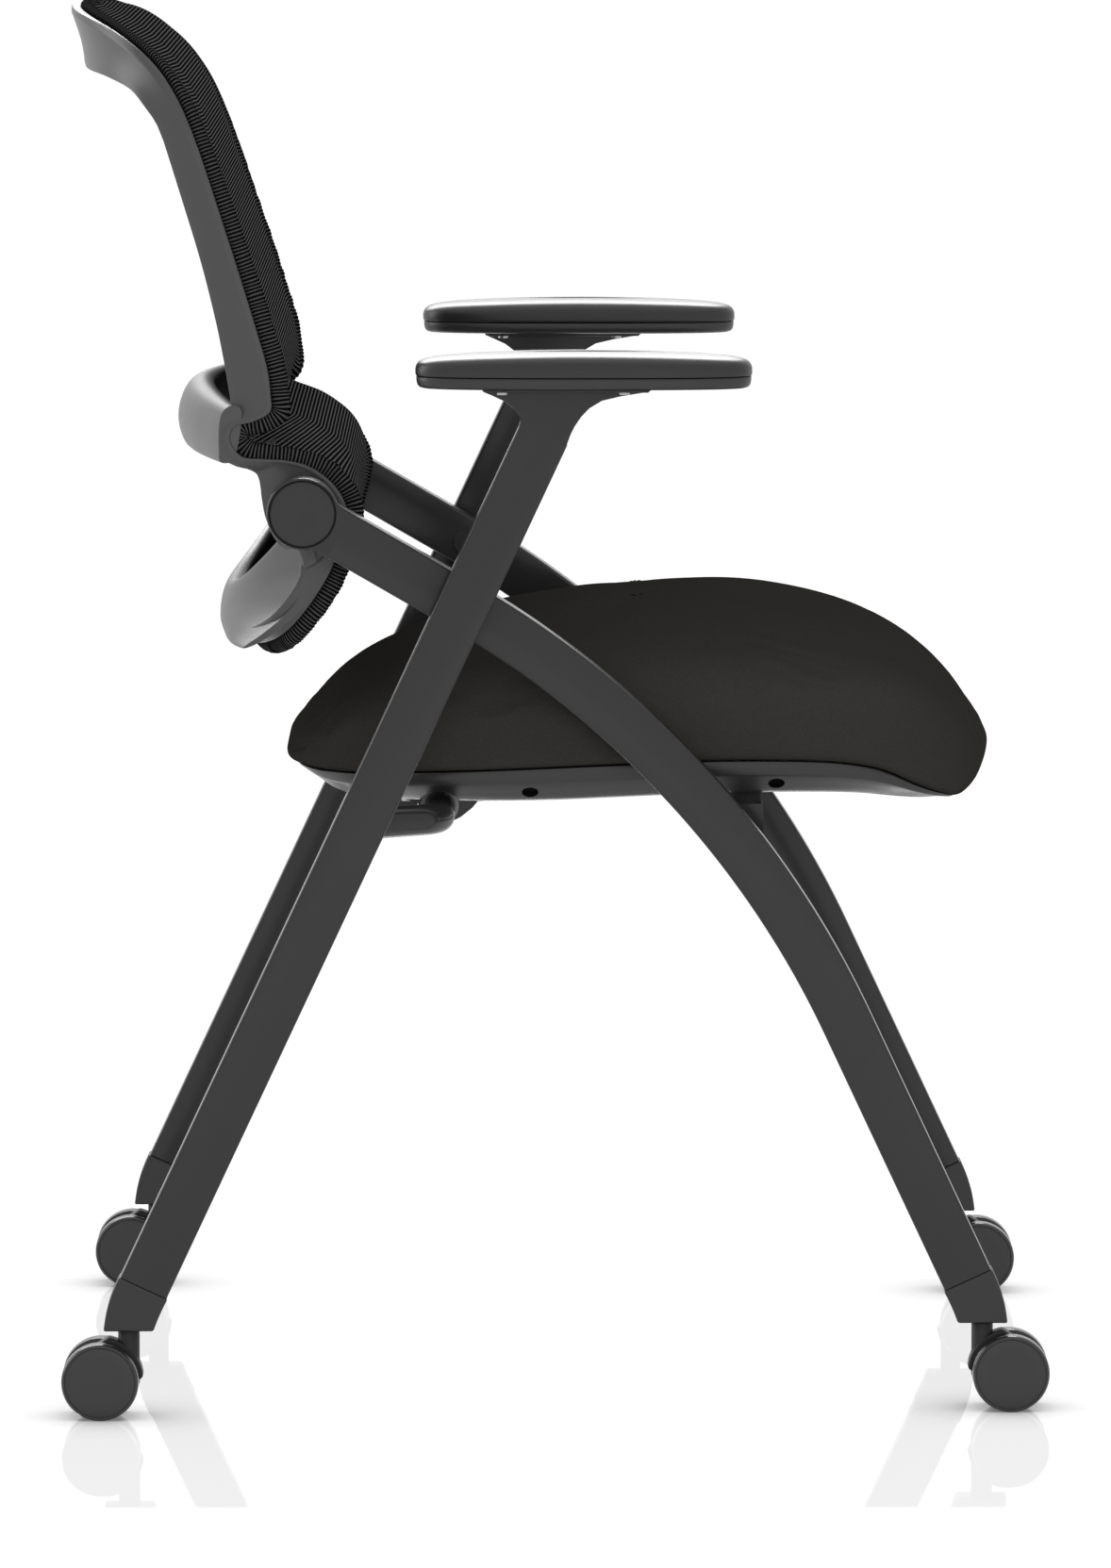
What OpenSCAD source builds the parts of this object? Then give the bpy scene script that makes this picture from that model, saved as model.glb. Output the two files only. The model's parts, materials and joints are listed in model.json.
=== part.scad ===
// Nesting chair: flip-up seat, tilting mesh back, fixed arms and four twin-wheel casters.
// +X is forward, +Y is the sitter's left, +Z is up; the origin is on the floor below the middle.

/* [Frame tubes] */
// Depth of the flat-sided leg tubes, seen from the side
tube_d = 33; // [28:0.5:38]
// Thickness of the leg tubes across the chair
tube_t = 22; // [18:0.5:26]
// Wall of the leg tubes
tube_wall = 1.6; // [1.2:0.1:2.4]
// Outer corner radius of the leg tubes
tube_corner = 3; // [2.5:0.1:5]
// Lean of every leg from the vertical, in degrees
leg_lean = 25.1; // [23:0.1:27]
// Distance from the middle to each leg's axis at the ferrule's underside
foot_x = 280; // [265:1:295]
// Gap between the seat cushion and the front leg beside it
seat_side_gap = 9; // [7:0.5:14]
// Free gap between a rear leg and the front leg beside it
leg_gap = 11; // [9:0.5:14]
// Radius of the bend in each front leg, on its axis
bend_r = 616; // [540:1:660]
// Slope of the upper, straight stretch of each front leg, in degrees
upper_slope = 30; // [28:0.5:32]
// Height of the rear legs' upper ends, where the arms begin
post_top_z = 637.3; // [625:0.5:650]
// Diameter of the bolts where the legs cross
cross_bolt_d = 10; // [8:0.5:12]
// Diameter of the bolts' round heads
cross_head_d = 16.6; // [14:0.2:20]
// Thickness of the bolts' heads
cross_head_t = 2.6; // [2:0.2:4]

/* [Cross bars] */
// Diameter of the rear bar that the seat turns on
hinge_bar_d = 20; // [18:0.5:22]
// Distance from the middle back to the rear bar
hinge_back = 76; // [70:1:82]
// Height of the rear bar
hinge_z = 384; // [383:0.1:385]
// Bend radius of the rear bar
hinge_bar_bend = 30; // [24:1:36]
// Distance from a rear leg in to the bend's corner point
hinge_corner_in = 34; // [31:0.5:36]
// Wall of both cross bars
bar_wall = 2; // [1.5:0.1:3]
// Diameter of the front cross bar
front_bar_d = 22; // [18:0.5:26]
// Distance from the middle forward to the front bar
front_bar_x = 124; // [118:1:128]
// Height of the front bar
front_bar_z = 351; // [346:1:356]

/* [Ferrules and casters] */
// Height of the ferrules' undersides
ferrule_z = 57; // [56:0.5:60]
// Length of a ferrule along its leg
ferrule_l = 31; // [28:0.5:36]
// Width of a ferrule's flat underside
ferrule_foot_w = 32.3; // [30:0.1:36]
// Distance that a stem stands in from the leg's axis, at the ferrule's underside
stem_in = 3.4; // [2:0.1:5]
// Wheel diameter
wheel_d = 50; // [46:0.5:51]
// Width of one wheel
wheel_w = 14; // [12:0.5:16]
// Gap between the two wheels of a caster
wheel_gap = 15.8; // [15:0.1:18]
// Distance from a caster's stem out to its axle
trail = 18.2; // [16:0.1:20]
// Diameter of a caster's stem
stem_d = 11; // [10:0.1:12]
// Diameter of the collar under the ferrule
collar_d = 14; // [13:0.1:14.6]
// Length of stem inside the socket
stem_in_socket = 22; // [18:0.5:24]
// Axle diameter
axle_d = 6; // [5:0.1:8]
// Thickness of the hood over the wheels
hood_t = 2.4; // [2:0.1:2.8]
// Width of the hood
hood_w = 26; // [20:0.5:36]

/* [Hubs] */
// Distance from the middle back to the hubs
hub_back = 163.6; // [160:0.2:168]
// Height of the hubs
hub_z = 583.6; // [580:0.2:587]
// Diameter of a hub housing
hub_d = 46.4; // [44:0.2:48]
// Diameter of a hub cap
hub_cap_d = 42; // [38:0.2:43]
// Distance from the hub's centre to the end of its tube
hub_neck_l = 27.6; // [26:0.2:31]
// Diameter of a hub pin
hub_pin_d = 10; // [8:0.2:12]
// Thickness of the caps
hub_cap_t = 3.6; // [3:0.2:5]

/* [Back] */
// Gap between the back's rim and the front leg beside it
back_side_gap = 15; // [14:0.5:20]
// Thickness of the rim across the chair
rim_t = 13; // [10:0.5:16]
// Height of the back, along the vertical
back_h = 414; // [405:1:420]
// Height of the back's lower edge
back_low_z = 491; // [489:0.5:493]
// Depth of the back, from the lumbar bulge to the upper lip
back_d = 186; // [182:1:190]
// Distance from the middle back to the lumbar bulge
lumbar_back = 128; // [126:0.5:131]
// Thickness of the mesh cloth
mesh_t = 2.2; // [1.6:0.1:3]
// Diameter of the gathered roll along the mesh's edge
roll_d = 8; // [7:0.2:9]
// Height of the waist bar's band
waist_bar_h = 41; // [36:1:44]
// Rearward bow of the waist bar
waist_bow = 33; // [28:1:38]
// Height of the lower bar's band, as a share of the back's height
lower_bar_h_share = 0.09; // [0.085:0.001:0.1]
// Rearward bow of the lower bar
lower_bow = 43; // [36:1:46]
// Drop of the lower bar's middle below its ends
lower_sag = 16; // [10:1:20]
// Thickness of both bands
band_t = 9; // [7:0.5:12]

/* [Seat] */
// Width of the seat cushion
seat_w = 464; // [450:1:466]
// Distance from the middle back to the seat's rear edge
seat_rear = 179; // [172:1:181]
// Distance from the middle forward to the seat's front edge
seat_front = 287; // [280:1:297]
// Distance from the middle forward to the pan's front edge, under the cushion's nose
pan_front = 253; // [248:1:258]
// Height of the seat's highest line
seat_top_z = 514; // [508:1:518]
// Height of the pan's flat underside at the rear
pan_low_z = 393; // [393:0.1:394]
// Thickness of the pan's wall
pan_wall = 4; // [3:0.2:5]
// Distance from the seat's edge in to the pan's edge
pan_inset = 5; // [5:0.5:9]
// Inset of the pan's underside from its edge
pan_bevel = 12; // [10:0.5:16]
// Radius of the groove over the rear bar
groove_r = 15.5; // [14:0.1:16]
// Width of a hinge bracket along the bar
bracket_w = 40; // [30:1:50]
// Distance from the middle to a hinge bracket's centre, as a share of the seat's width
bracket_y_share = 0.3; // [0.26:0.01:0.34]
// Wall around a hinge bracket's bore
bracket_wall = 5; // [4:0.2:6]
// Diameter of the seat buffers
buffer_d = 20; // [16:0.5:24]
// Height of the seat buffers
buffer_h = 8; // [6:0.5:10]
// Distance from the middle to each buffer, as a share of the seat's width
buffer_y_share = 0.41; // [0.37:0.01:0.43]

/* [Arms] */
// Length of an arm pad
pad_l = 216; // [200:1:230]
// Width of an arm pad
pad_w = 74; // [64:1:78]
// Rise of an arm bracket above its leg's upper end
bracket_rise = 29.7; // [27:0.1:33]
// Thickness of a pad base
base_h = 8; // [7:0.5:10]
// Thickness of an arm pad
pad_h = 14.5; // [12:0.5:18]
// Forward offset of the pads' middle from the legs' upper ends
pad_forward = 25.8; // [18:0.2:32]
// Length of the bracket's flange under the pad
flange_l = 108; // [96:1:120]
// Width of that flange
flange_w = 46; // [38:1:56]
// Thickness of that flange
flange_t = 4; // [3:0.2:5]

/* [Hidden] */
$fn = 96;
over = 1;
seam = 0.4;
// Tubes are a trace larger where they are bent
bend_swell = 0.06;
fit_gap = 0.05;
rest_gap = 0.3;
corner_steps = 4;
inner_corner = tube_corner - tube_wall;
bar_fn = 64;
bend_fn = 360;

dark = "#303132";
steel = "#3a3a3b";
soft = "#262522";
grey = "#4a4b4d";
metal = "#8c8f92";

// Across the chair: the seat, then the front legs, then the rear legs, and the back within the front legs
front_in = seat_w / 2 + seat_side_gap;
front_y = front_in + tube_t / 2;
front_out = front_in + tube_t;
rear_in = front_out + leg_gap;
rear_y = rear_in + tube_t / 2;
rear_out = rear_in + tube_t;
rim_half_w = front_in - back_side_gap;
hinge_corner_y = rear_in - hinge_corner_in;
bracket_y = seat_w * bracket_y_share;
buffer_y = seat_w * buffer_y_share;
pad_low_z = post_top_z + bracket_rise;
pad_part_z = pad_low_z + base_h;
pad_top_z = pad_part_z + pad_h;
rear_tube_l = (post_top_z - ferrule_z) / cos(leg_lean) - ferrule_l;

// Front leg: the lower and upper lines meet at a corner, which the bend rounds
upper_tilt = 90 - upper_slope;
bend_turn = upper_tilt - leg_lean;
line_gap = [-hub_back - foot_x, hub_z - ferrule_z];
low_dir = [-sin(leg_lean), cos(leg_lean)];
up_dir = [-sin(upper_tilt), cos(upper_tilt)];
corner_run = (line_gap[0] * up_dir[1] - line_gap[1] * up_dir[0])
    / (low_dir[0] * up_dir[1] - low_dir[1] * up_dir[0]);
corner = [foot_x, ferrule_z] + corner_run * low_dir;
bend_tangent = bend_r * tan(bend_turn / 2);
bend_start = corner - bend_tangent * low_dir;
bend_end = corner + bend_tangent * up_dir;
bend_centre = bend_start - bend_r * [cos(leg_lean), sin(leg_lean)];
hub = [-hub_back, hub_z];
upper_run = norm(hub - bend_end) - hub_neck_l;

// Where the rear leg's axis crosses the front leg's upper line
rear_dir = [sin(leg_lean), cos(leg_lean)];
cross_gap = hub - [-foot_x, ferrule_z];
cross_run = (cross_gap[0] * up_dir[1] - cross_gap[1] * up_dir[0])
    / (rear_dir[0] * up_dir[1] - rear_dir[1] * up_dir[0]);
cross_pt = [-foot_x, ferrule_z] + cross_run * rear_dir;

// Rear bar: from the leg's inner face it turns forward and inward under the seat
hinge = [-hinge_back, hinge_z];
bar_end_x = -foot_x + (hinge_z - ferrule_z) * tan(leg_lean);
bar_turn = atan2(-hinge_back - bar_end_x, rear_in - hinge_corner_y);
bar_tangent = hinge_bar_bend * tan(bar_turn / 2);
bar_straight = hinge_corner_y - bar_tangent;
bar_out_l = norm([-hinge_back - bar_end_x, rear_in - hinge_corner_y]);
bush_wall = 2.4;
bush_d = hinge_bar_d + 2 * (bush_wall + fit_gap);
bracket_d = bush_d + 2 * bracket_wall;

// Casters
stem_x = foot_x - stem_in;
axle_z = wheel_d / 2;
socket_wall = 1.5;
socket_d = stem_d + 2 * (socket_wall + fit_gap);
hood_gap = 0.9;
hood_r = wheel_d / 2 + hood_gap + hood_t;
web_t = wheel_gap - 2 * rest_gap;
web_r_share = 0.84;
tyre_t = 2.6;

// Back: stations from the lower edge up to the upper lip, as shares of its depth and height
function back_x(share) = -lumbar_back - share * back_d;
function back_z(share) = back_low_z + share * back_h;
rim_front_shares = [
    [0.355, 0.014], [0.290, 0.024], [0.215, 0.046], [0.145, 0.085], [0.102, 0.123], [0.070, 0.159],
    [0.048, 0.196], [0.043, 0.229], [0.086, 0.263], [0.161, 0.289], [0.242, 0.300], [0.328, 0.303],
    [0.398, 0.306], [0.435, 0.321], [0.446, 0.338], [0.427, 0.354], [0.360, 0.362], [0.306, 0.377],
    [0.304, 0.403], [0.317, 0.447], [0.358, 0.512], [0.417, 0.599], [0.489, 0.700], [0.559, 0.795],
    [0.629, 0.867], [0.720, 0.923], [0.844, 0.961], [0.995, 0.995]];
rim_rear_shares = [
    [0.419, 0.014], [0.323, 0.046], [0.258, 0.068], [0.199, 0.104], [0.172, 0.138], [0.269, 0.167],
    [0.317, 0.203], [0.317, 0.237], [0.301, 0.261], [0.306, 0.271], [0.328, 0.279], [0.366, 0.285],
    [0.430, 0.291], [0.481, 0.307], [0.489, 0.336], [0.478, 0.357], [0.457, 0.374], [0.446, 0.389],
    [0.452, 0.413], [0.468, 0.454], [0.497, 0.519], [0.548, 0.611], [0.618, 0.715], [0.688, 0.812],
    [0.753, 0.857], [0.812, 0.889], [0.903, 0.909], [0.995, 0.928]];
mesh_mid_shares = [
    [0.349, 0.000], [0.269, 0.007], [0.177, 0.036], [0.097, 0.075], [0.048, 0.116], [0.022, 0.159],
    [0.005, 0.203], [0.000, 0.244], [0.016, 0.283], [0.054, 0.312], [0.108, 0.333], [0.161, 0.348],
    [0.204, 0.356], [0.242, 0.362], [0.269, 0.367], [0.285, 0.372], [0.290, 0.379], [0.274, 0.391],
    [0.253, 0.413], [0.263, 0.457], [0.306, 0.514], [0.371, 0.594], [0.446, 0.693], [0.511, 0.787],
    [0.581, 0.867], [0.672, 0.932], [0.812, 0.981], [0.984, 1.000]];
// Shares of the stations where the rim's lower and upper corners begin
low_corner_share = 0.13;
high_corner_share = 0.80;
corner_power = 3;

function blend(a, b, t) = a + (b - a) * t;
function smooth(t) = let (c = min(max(t, 0), 1)) c * c * (3 - 2 * c);
function bounded(i, list) = list[min(max(i, 0), len(list) - 1)];
function spline(list, t) =
    let (i = min(floor(t * (len(list) - 1)), len(list) - 2), f = t * (len(list) - 1) - i,
        a = bounded(i - 1, list), b = list[i], c = list[i + 1], d = bounded(i + 2, list))
    b + f * (c - a) / 2 + f * f * (2 * a - 5 * b + 4 * c - d) / 2
        + f * f * f * (3 * b - a - 3 * c + d) / 2;
function back_point(shares, t) = let (s = spline(shares, t)) [back_x(s[0]), back_z(s[1])];
function rim_front(t) = back_point(rim_front_shares, t);
function rim_rear(t) = back_point(rim_rear_shares, t);
function rim_out(t) = let (v = rim_front(t) - rim_rear(t)) v / norm(v);
function power(v, p) = sign(v) * pow(abs(v), p);

// Half of the rim's loop, from the middle of its lower edge to the middle of its upper edge:
// each entry is [y, station share, inward y, inward share]
arc_steps = 9;
side_steps = 38;
side_share_l = (high_corner_share - low_corner_share);
rim_t_share = rim_t / back_h;
function corner_entry(a, share_from, share_to) =
    let (c = power(cos(a), 2 / corner_power), s = power(sin(a), 2 / corner_power),
        n = [power(c, corner_power - 1) / rim_half_w,
            power(s, corner_power - 1) / (abs(share_to - share_from) * back_h)],
        u = n / norm(n))
    [rim_half_w * c, share_from + (share_to - share_from) * s,
        -u[0], -sign(share_to - share_from) * u[1]];
rim_half = concat(
    [for (k = [0:arc_steps - 1]) corner_entry(90 - k * 90 / arc_steps, low_corner_share, 0)],
    [for (k = [0:side_steps]) [rim_half_w, low_corner_share + side_share_l * k / side_steps, -1, 0]],
    [for (k = [1:arc_steps]) corner_entry(k * 90 / arc_steps, high_corner_share, 1)]);
rim_loop = concat(rim_half,
    [for (k = [len(rim_half) - 2:-1:1]) let (e = rim_half[k]) [-e[0], e[1], -e[2], e[3]]]);

function at(p, y) = [p[0], y, p[1]];
function rim_section(e) =
    let (y = e[0], t = e[1], yi = y + e[2] * rim_t, ti = min(max(t + e[3] * rim_t_share, 0), 1))
    [at(rim_front(t), y), at(rim_rear(t), y), at(rim_rear(ti), yi), at(rim_front(ti), yi)];

// Closed tube through a list of sections that have equally many points
module loop_loft(sections) {
    n = len(sections[0]);
    m = len(sections);
    polyhedron(
        points = [for (s = sections) for (p = s) p],
        faces = [for (i = [0:m - 1]) for (j = [0:n - 1]) each
            let (a = i * n + j, b = i * n + (j + 1) % n, c = ((i + 1) % m) * n + (j + 1) % n,
                d = ((i + 1) % m) * n + j) [[a, b, c], [a, c, d]]],
        convexity = 6);
}

// Solid through a list of sections, closed by a fan at each end
module loft(sections) {
    n = len(sections[0]);
    m = len(sections);
    polyhedron(
        points = [for (s = sections) for (p = s) p],
        faces = concat(
            [for (i = [0:m - 2]) for (j = [0:n - 1]) each
                let (a = i * n + j, b = i * n + (j + 1) % n, c = (i + 1) * n + (j + 1) % n,
                    d = (i + 1) * n + j) [[a, b, c], [a, c, d]]],
            [for (j = [1:n - 2]) [0, j + 1, j]],
            [for (j = [1:n - 2]) [(m - 1) * n, (m - 1) * n + j, (m - 1) * n + j + 1]]),
        convexity = 6);
}

// Pad or tray built of stacked closed rings, with a centre point above the last ring
function super(a, power_n) = [power(cos(a), 2 / power_n), power(sin(a), 2 / power_n)];

module ring_stack(rings, top, low) {
    n = len(rings[0]);
    m = len(rings);
    polyhedron(
        points = concat([for (r = rings) for (p = r) p], [top, low]),
        faces = concat(
            [for (i = [0:m - 2]) for (j = [0:n - 1]) each
                let (a = i * n + j, b = i * n + (j + 1) % n, c = (i + 1) * n + (j + 1) % n,
                    d = (i + 1) * n + j) [[a, c, b], [a, d, c]]],
            [for (j = [0:n - 1]) [(m - 1) * n + j, m * n, (m - 1) * n + (j + 1) % n]],
            [for (j = [0:n - 1]) [j, (j + 1) % n, m * n + 1]]),
        convexity = 4);
}

// Tubes
function rounded(a, b, r) =
    [for (q = [0:3]) for (k = [0:corner_steps])
        let (sx = (q == 0 || q == 3) ? 1 : -1, sy = (q < 2) ? 1 : -1, w = (q + k / corner_steps) * 90)
        [sx * (a / 2 - r) + r * cos(w), sy * (b / 2 - r) + r * sin(w)]];
module tube_outline(swell = 0) {
    difference() {
        polygon(rounded(tube_d + swell, tube_t + swell, tube_corner));
        polygon(rounded(tube_d - 2 * tube_wall + swell, tube_t - 2 * tube_wall + swell, inner_corner));
    }
}
module plug_outline() {
    polygon(rounded(tube_d - 2 * tube_wall - 2 * fit_gap, tube_t - 2 * tube_wall - 2 * fit_gap,
        inner_corner));
}
module on_side(side) {
    if (side > 0) children();
    else mirror([0, 1, 0]) children();
}
module across(p, y0, y1, d) {
    translate([p[0], y0, p[1]]) rotate([-90, 0, 0]) cylinder(d = d, h = y1 - y0, $fn = bar_fn);
}
module side_plate(points, y0, y1) {
    translate([0, y1, 0]) rotate([90, 0, 0]) linear_extrude(y1 - y0) polygon(points);
}

module rear_leg(side) {
    color(dark) on_side(side) difference() {
        translate([-foot_x, rear_y, ferrule_z]) rotate([0, leg_lean, 0])
            translate([0, 0, ferrule_l]) linear_extrude(rear_tube_l) tube_outline();
        across(cross_pt, rear_in - over, rear_out + over, cross_bolt_d + 2 * fit_gap);
    }
}
module front_leg(side) {
    color(dark) on_side(side) difference() {
        translate([0, front_y, 0]) union() {
            translate([foot_x, 0, ferrule_z]) rotate([0, -leg_lean, 0]) translate([0, 0, ferrule_l])
                linear_extrude(norm(bend_start - [foot_x, ferrule_z]) - ferrule_l + seam) tube_outline();
            translate([bend_centre[0], 0, bend_centre[1]]) rotate([90, 0, 0]) rotate([0, 0, leg_lean])
                rotate_extrude(angle = bend_turn, $fn = bend_fn) translate([bend_r, 0])
                tube_outline(bend_swell);
            translate([bend_end[0], 0, bend_end[1]]) rotate([0, -upper_tilt, 0])
                translate([0, 0, -seam]) linear_extrude(upper_run + seam) tube_outline();
        }
        across(cross_pt, front_in - over, front_out + over, cross_bolt_d + 2 * fit_gap);
    }
}
module cross_spacers() {
    color(dark) for (side = [-1, 1]) on_side(side) difference() {
        across(cross_pt, front_out + bend_swell, rear_in, cross_head_d + tube_corner);
        across(cross_pt, front_out - over, rear_in + over, cross_bolt_d + 2 * fit_gap);
    }
}
module cross_bolts() {
    color(steel) for (side = [-1, 1]) on_side(side) union() {
        across(cross_pt, front_in, rear_out - tube_wall, cross_bolt_d);
        across(cross_pt, front_in - cross_head_t, front_in, cross_head_d);
    }
}

// Rear bar: a round tube bent once near each end
module bar_run(d) {
    across(hinge, -bar_straight - seam, bar_straight + seam, d);
    for (side = [-1, 1]) on_side(side) {
        translate([-hinge_back - hinge_bar_bend, bar_straight, hinge_z])
            rotate_extrude(angle = bar_turn) translate([hinge_bar_bend, 0])
                circle(d = d + bend_swell, $fn = bar_fn);
        translate([-hinge_back - bar_tangent * sin(bar_turn), hinge_corner_y + bar_tangent * cos(bar_turn),
            hinge_z]) rotate([0, 0, bar_turn]) rotate([-90, 0, 0])
            translate([0, 0, -seam]) cylinder(d = d, h = bar_out_l, $fn = bar_fn);
    }
}
module seat_hinge_bar() {
    color(dark) difference() {
        bar_run(hinge_bar_d);
        bar_run(hinge_bar_d - 2 * bar_wall);
        for (side = [-1, 1]) on_side(side) translate([-foot_x, rear_in, hinge_z - hinge_bar_d])
            cube([foot_x, rear_y, 2 * hinge_bar_d]);
    }
}
module front_cross_tube() {
    color(dark) difference() {
        across([front_bar_x, front_bar_z], -front_in, front_in, front_bar_d);
        across([front_bar_x, front_bar_z], -front_in - over, front_in + over, front_bar_d - 2 * bar_wall);
    }
}

// Seat outlines along its length: u runs from 0 at the rear edge to 1 at the front edge
seat_l = seat_rear + seat_front;
seat_mid = (seat_front - seat_rear) / 2;
function seat_u(x) = (x + seat_rear) / seat_l;
pan_rise = 9.5;
seat_h = seat_top_z - pan_low_z;
// Pan underside above its lowest line, as [share of the length, share of the rise]
pan_low_shares = [[0, 1.6], [0.06, 0.45], [0.10, 0], [0.30, 0], [0.40, 0.18], [0.51, 0.40], [0.62, 0.52],
    [0.715, 0.52], [0.79, 0.45], [0.84, 0.27], [0.89, -0.02], [0.912, -0.28], [0.93, -0.2], [1, 0]];
// Pan's upper edge above its lowest line, as [share of the length, share of the seat's height]
pan_top_shares = [[0, 0.133], [0.10, 0.137], [0.18, 0.154], [0.30, 0.172], [0.48, 0.204], [0.60, 0.222],
    [0.712, 0.2215], [0.777, 0.210], [0.825, 0.179], [0.857, 0.1405], [0.889, 0.091], [0.921, 0.035],
    [0.94, 0.008], [0.955, 0.02], [0.975, 0.08], [1, 0.2]];
// Cushion's middle line, as [share of the length, share of the seat's height]
seat_top_shares = [[0, 0.28], [0.02, 0.35], [0.06, 0.45], [0.11, 0.56], [0.16, 0.655], [0.23, 0.765],
    [0.32, 0.862], [0.42, 0.945], [0.50, 0.985], [0.59, 1], [0.68, 0.98], [0.77, 0.91], [0.84, 0.82],
    [0.90, 0.69], [0.95, 0.515], [0.98, 0.37], [1, 0.25]];
function share_at(u, table) = lookup(min(max(u, 0), 1), table);
function pan_low(x) = pan_low_z + pan_rise * share_at(seat_u(x), pan_low_shares);
function pan_top(x) = pan_low_z + seat_h * share_at(seat_u(x), pan_top_shares);
function seat_top(x) = pan_low_z + seat_h * share_at(seat_u(x), seat_top_shares);
seat_power = 4.2;
seat_sides = 44;
pan_sides = 40;

// Cushion rings: [inset as a share of the width, share of the height at the sides, and at the ends]
cushion_ring_shares = [[0.30, 0, 0], [0.14, 0, 0], [0.06, 0, 0], [0.012, 0, 0],
    [0.001, 0.07, 0.12], [0, 0.20, 0.40], [0.001, 0.38, 0.70],
    [0.010, 0.56, 0.86], [0.032, 0.69, 0.93], [0.072, 0.775, 0.96], [0.13, 0.84, 0.98], [0.20, 0.90, 0.99],
    [0.28, 0.95, 1], [0.35, 0.985, 1]];
cushion_end_reach = 1.35;
cushion_gap = 0.8;
function cushion_ring(s) = [for (k = [0:seat_sides - 1])
    let (a = k * 360 / seat_sides, n = super(a, seat_power), inset = s[0] * seat_w,
        x = seat_mid + (seat_l / 2 - inset * cushion_end_reach) * n[0],
        rise = blend(s[1], s[2], smooth(abs(cos(a)))))
    [x, (seat_w / 2 - inset) * n[1], blend(pan_top(x) + cushion_gap, seat_top(x), rise)]];
module seat_cushion() {
    color(soft) ring_stack([for (s = cushion_ring_shares) cushion_ring(s)],
        [seat_mid, 0, seat_top(seat_mid)], [seat_mid, 0, pan_top(seat_mid) + cushion_gap]);
}
pan_mid = (pan_front - seat_rear) / 2;
pan_half_l = (pan_front + seat_rear) / 2;
function pan_ring(inset, height) = [for (k = [0:pan_sides - 1])
    let (s = super(k * 360 / pan_sides, seat_power), x = pan_mid + (pan_half_l - inset) * s[0])
    [x, (seat_w / 2 - inset) * s[1], blend(pan_low(x), pan_top(x), height)]];
bevel_share = 0.5;
// The pan's top lies a little lower than the cushion: at its edge, and inside its border
pan_edge_share = 0.96;
pan_border = 70;
pan_border_share = 0.9;
pan_floor_t = 6;
pan_floor_share = 0.54;
pan_floor_z = pan_low_z + pan_floor_share * pan_rise + pan_floor_t;
board_t = 4.6;
hollow_back = 132;
hollow_front = 168;
hollow_corner = 60;
module pan_body() {
    ring_stack([pan_ring(pan_inset + pan_bevel, 0), pan_ring(pan_inset, bevel_share),
        pan_ring(pan_inset, pan_edge_share), pan_ring(pan_border, pan_border_share)],
        [pan_mid, 0, blend(pan_low(pan_mid), pan_top(pan_mid), pan_border_share)],
        [pan_mid, 0, pan_low(pan_mid)]);
}
module hollow_plan(gap) {
    translate([(hollow_front - hollow_back) / 2, 0]) polygon(rounded(hollow_front + hollow_back - 2 * gap,
        seat_w - 2 * (pan_inset + pan_bevel + pan_wall + gap), hollow_corner - gap));
}
module upright(d, z0, z1) {
    translate([0, 0, z0]) cylinder(d = d, h = z1 - z0, $fn = 32);
}
// Screws: four through each hinge bracket's flange, and four up through the pan's underside
screw_d = 5;
screw_head_d = 9.5;
screw_head_t = 2.6;
bracket_front = 30;
bracket_back = 26;
bracket_screw_shares = [-0.3, 0.3];
screw_edge_share = 0.55;
flange_h = 4;
pan_screw_x_shares = [0.34, 0.68];
pan_screw_in = 42;
pan_screw_y = seat_w / 2 - pan_screw_in;
bracket_x0 = -hinge_back - bracket_back;
bracket_x1 = -hinge_back + bracket_front;
module bracket_screw_places() {
    edge = screw_head_d * screw_edge_share;
    for (side = [-1, 1]) for (s = bracket_screw_shares) for (x = [bracket_x0 + edge, bracket_x1 - edge])
        translate([x, side * bracket_y + s * bracket_w, 0]) children();
}
board_z = pan_floor_z + rest_gap;
module pan_screw_places() {
    for (side = [-1, 1]) for (s = pan_screw_x_shares)
        translate([-seat_rear + s * seat_l, side * pan_screw_y, 0]) children();
}
module screw_holes(z0, z1) {
    bracket_screw_places() upright(screw_d + 2 * fit_gap, z0, z1);
    pan_screw_places() upright(screw_d + 2 * fit_gap, z0, z1);
}
module seat_pan() {
    color(grey) difference() {
        pan_body();
        translate([0, 0, pan_floor_z]) linear_extrude(seat_h) hollow_plan(0);
        across(hinge, -seat_w / 2, seat_w / 2, 2 * groove_r);
        screw_holes(pan_low_z - over, pan_floor_z + over);
        pan_screw_places() upright(screw_head_d + over, pan_low_z - over, pan_floor_z - pan_wall);
    }
}
module seat_board() {
    color("#8d7350") difference() {
        translate([0, 0, board_z]) linear_extrude(board_t) hollow_plan(over);
        screw_holes(board_z - over, board_z + board_t + over);
    }
}
// Screws run up through the flange or the pan's floor into the board
module screw(head_z) {
    upright(screw_head_d, head_z - screw_head_t, head_z);
    upright(screw_d, head_z, board_z + board_t);
}
module bracket_screws() {
    color(metal) bracket_screw_places() screw(pan_low_z - flange_h);
}
module pan_screws() {
    color(metal) pan_screw_places() screw(pan_floor_z - pan_wall);
}
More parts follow.
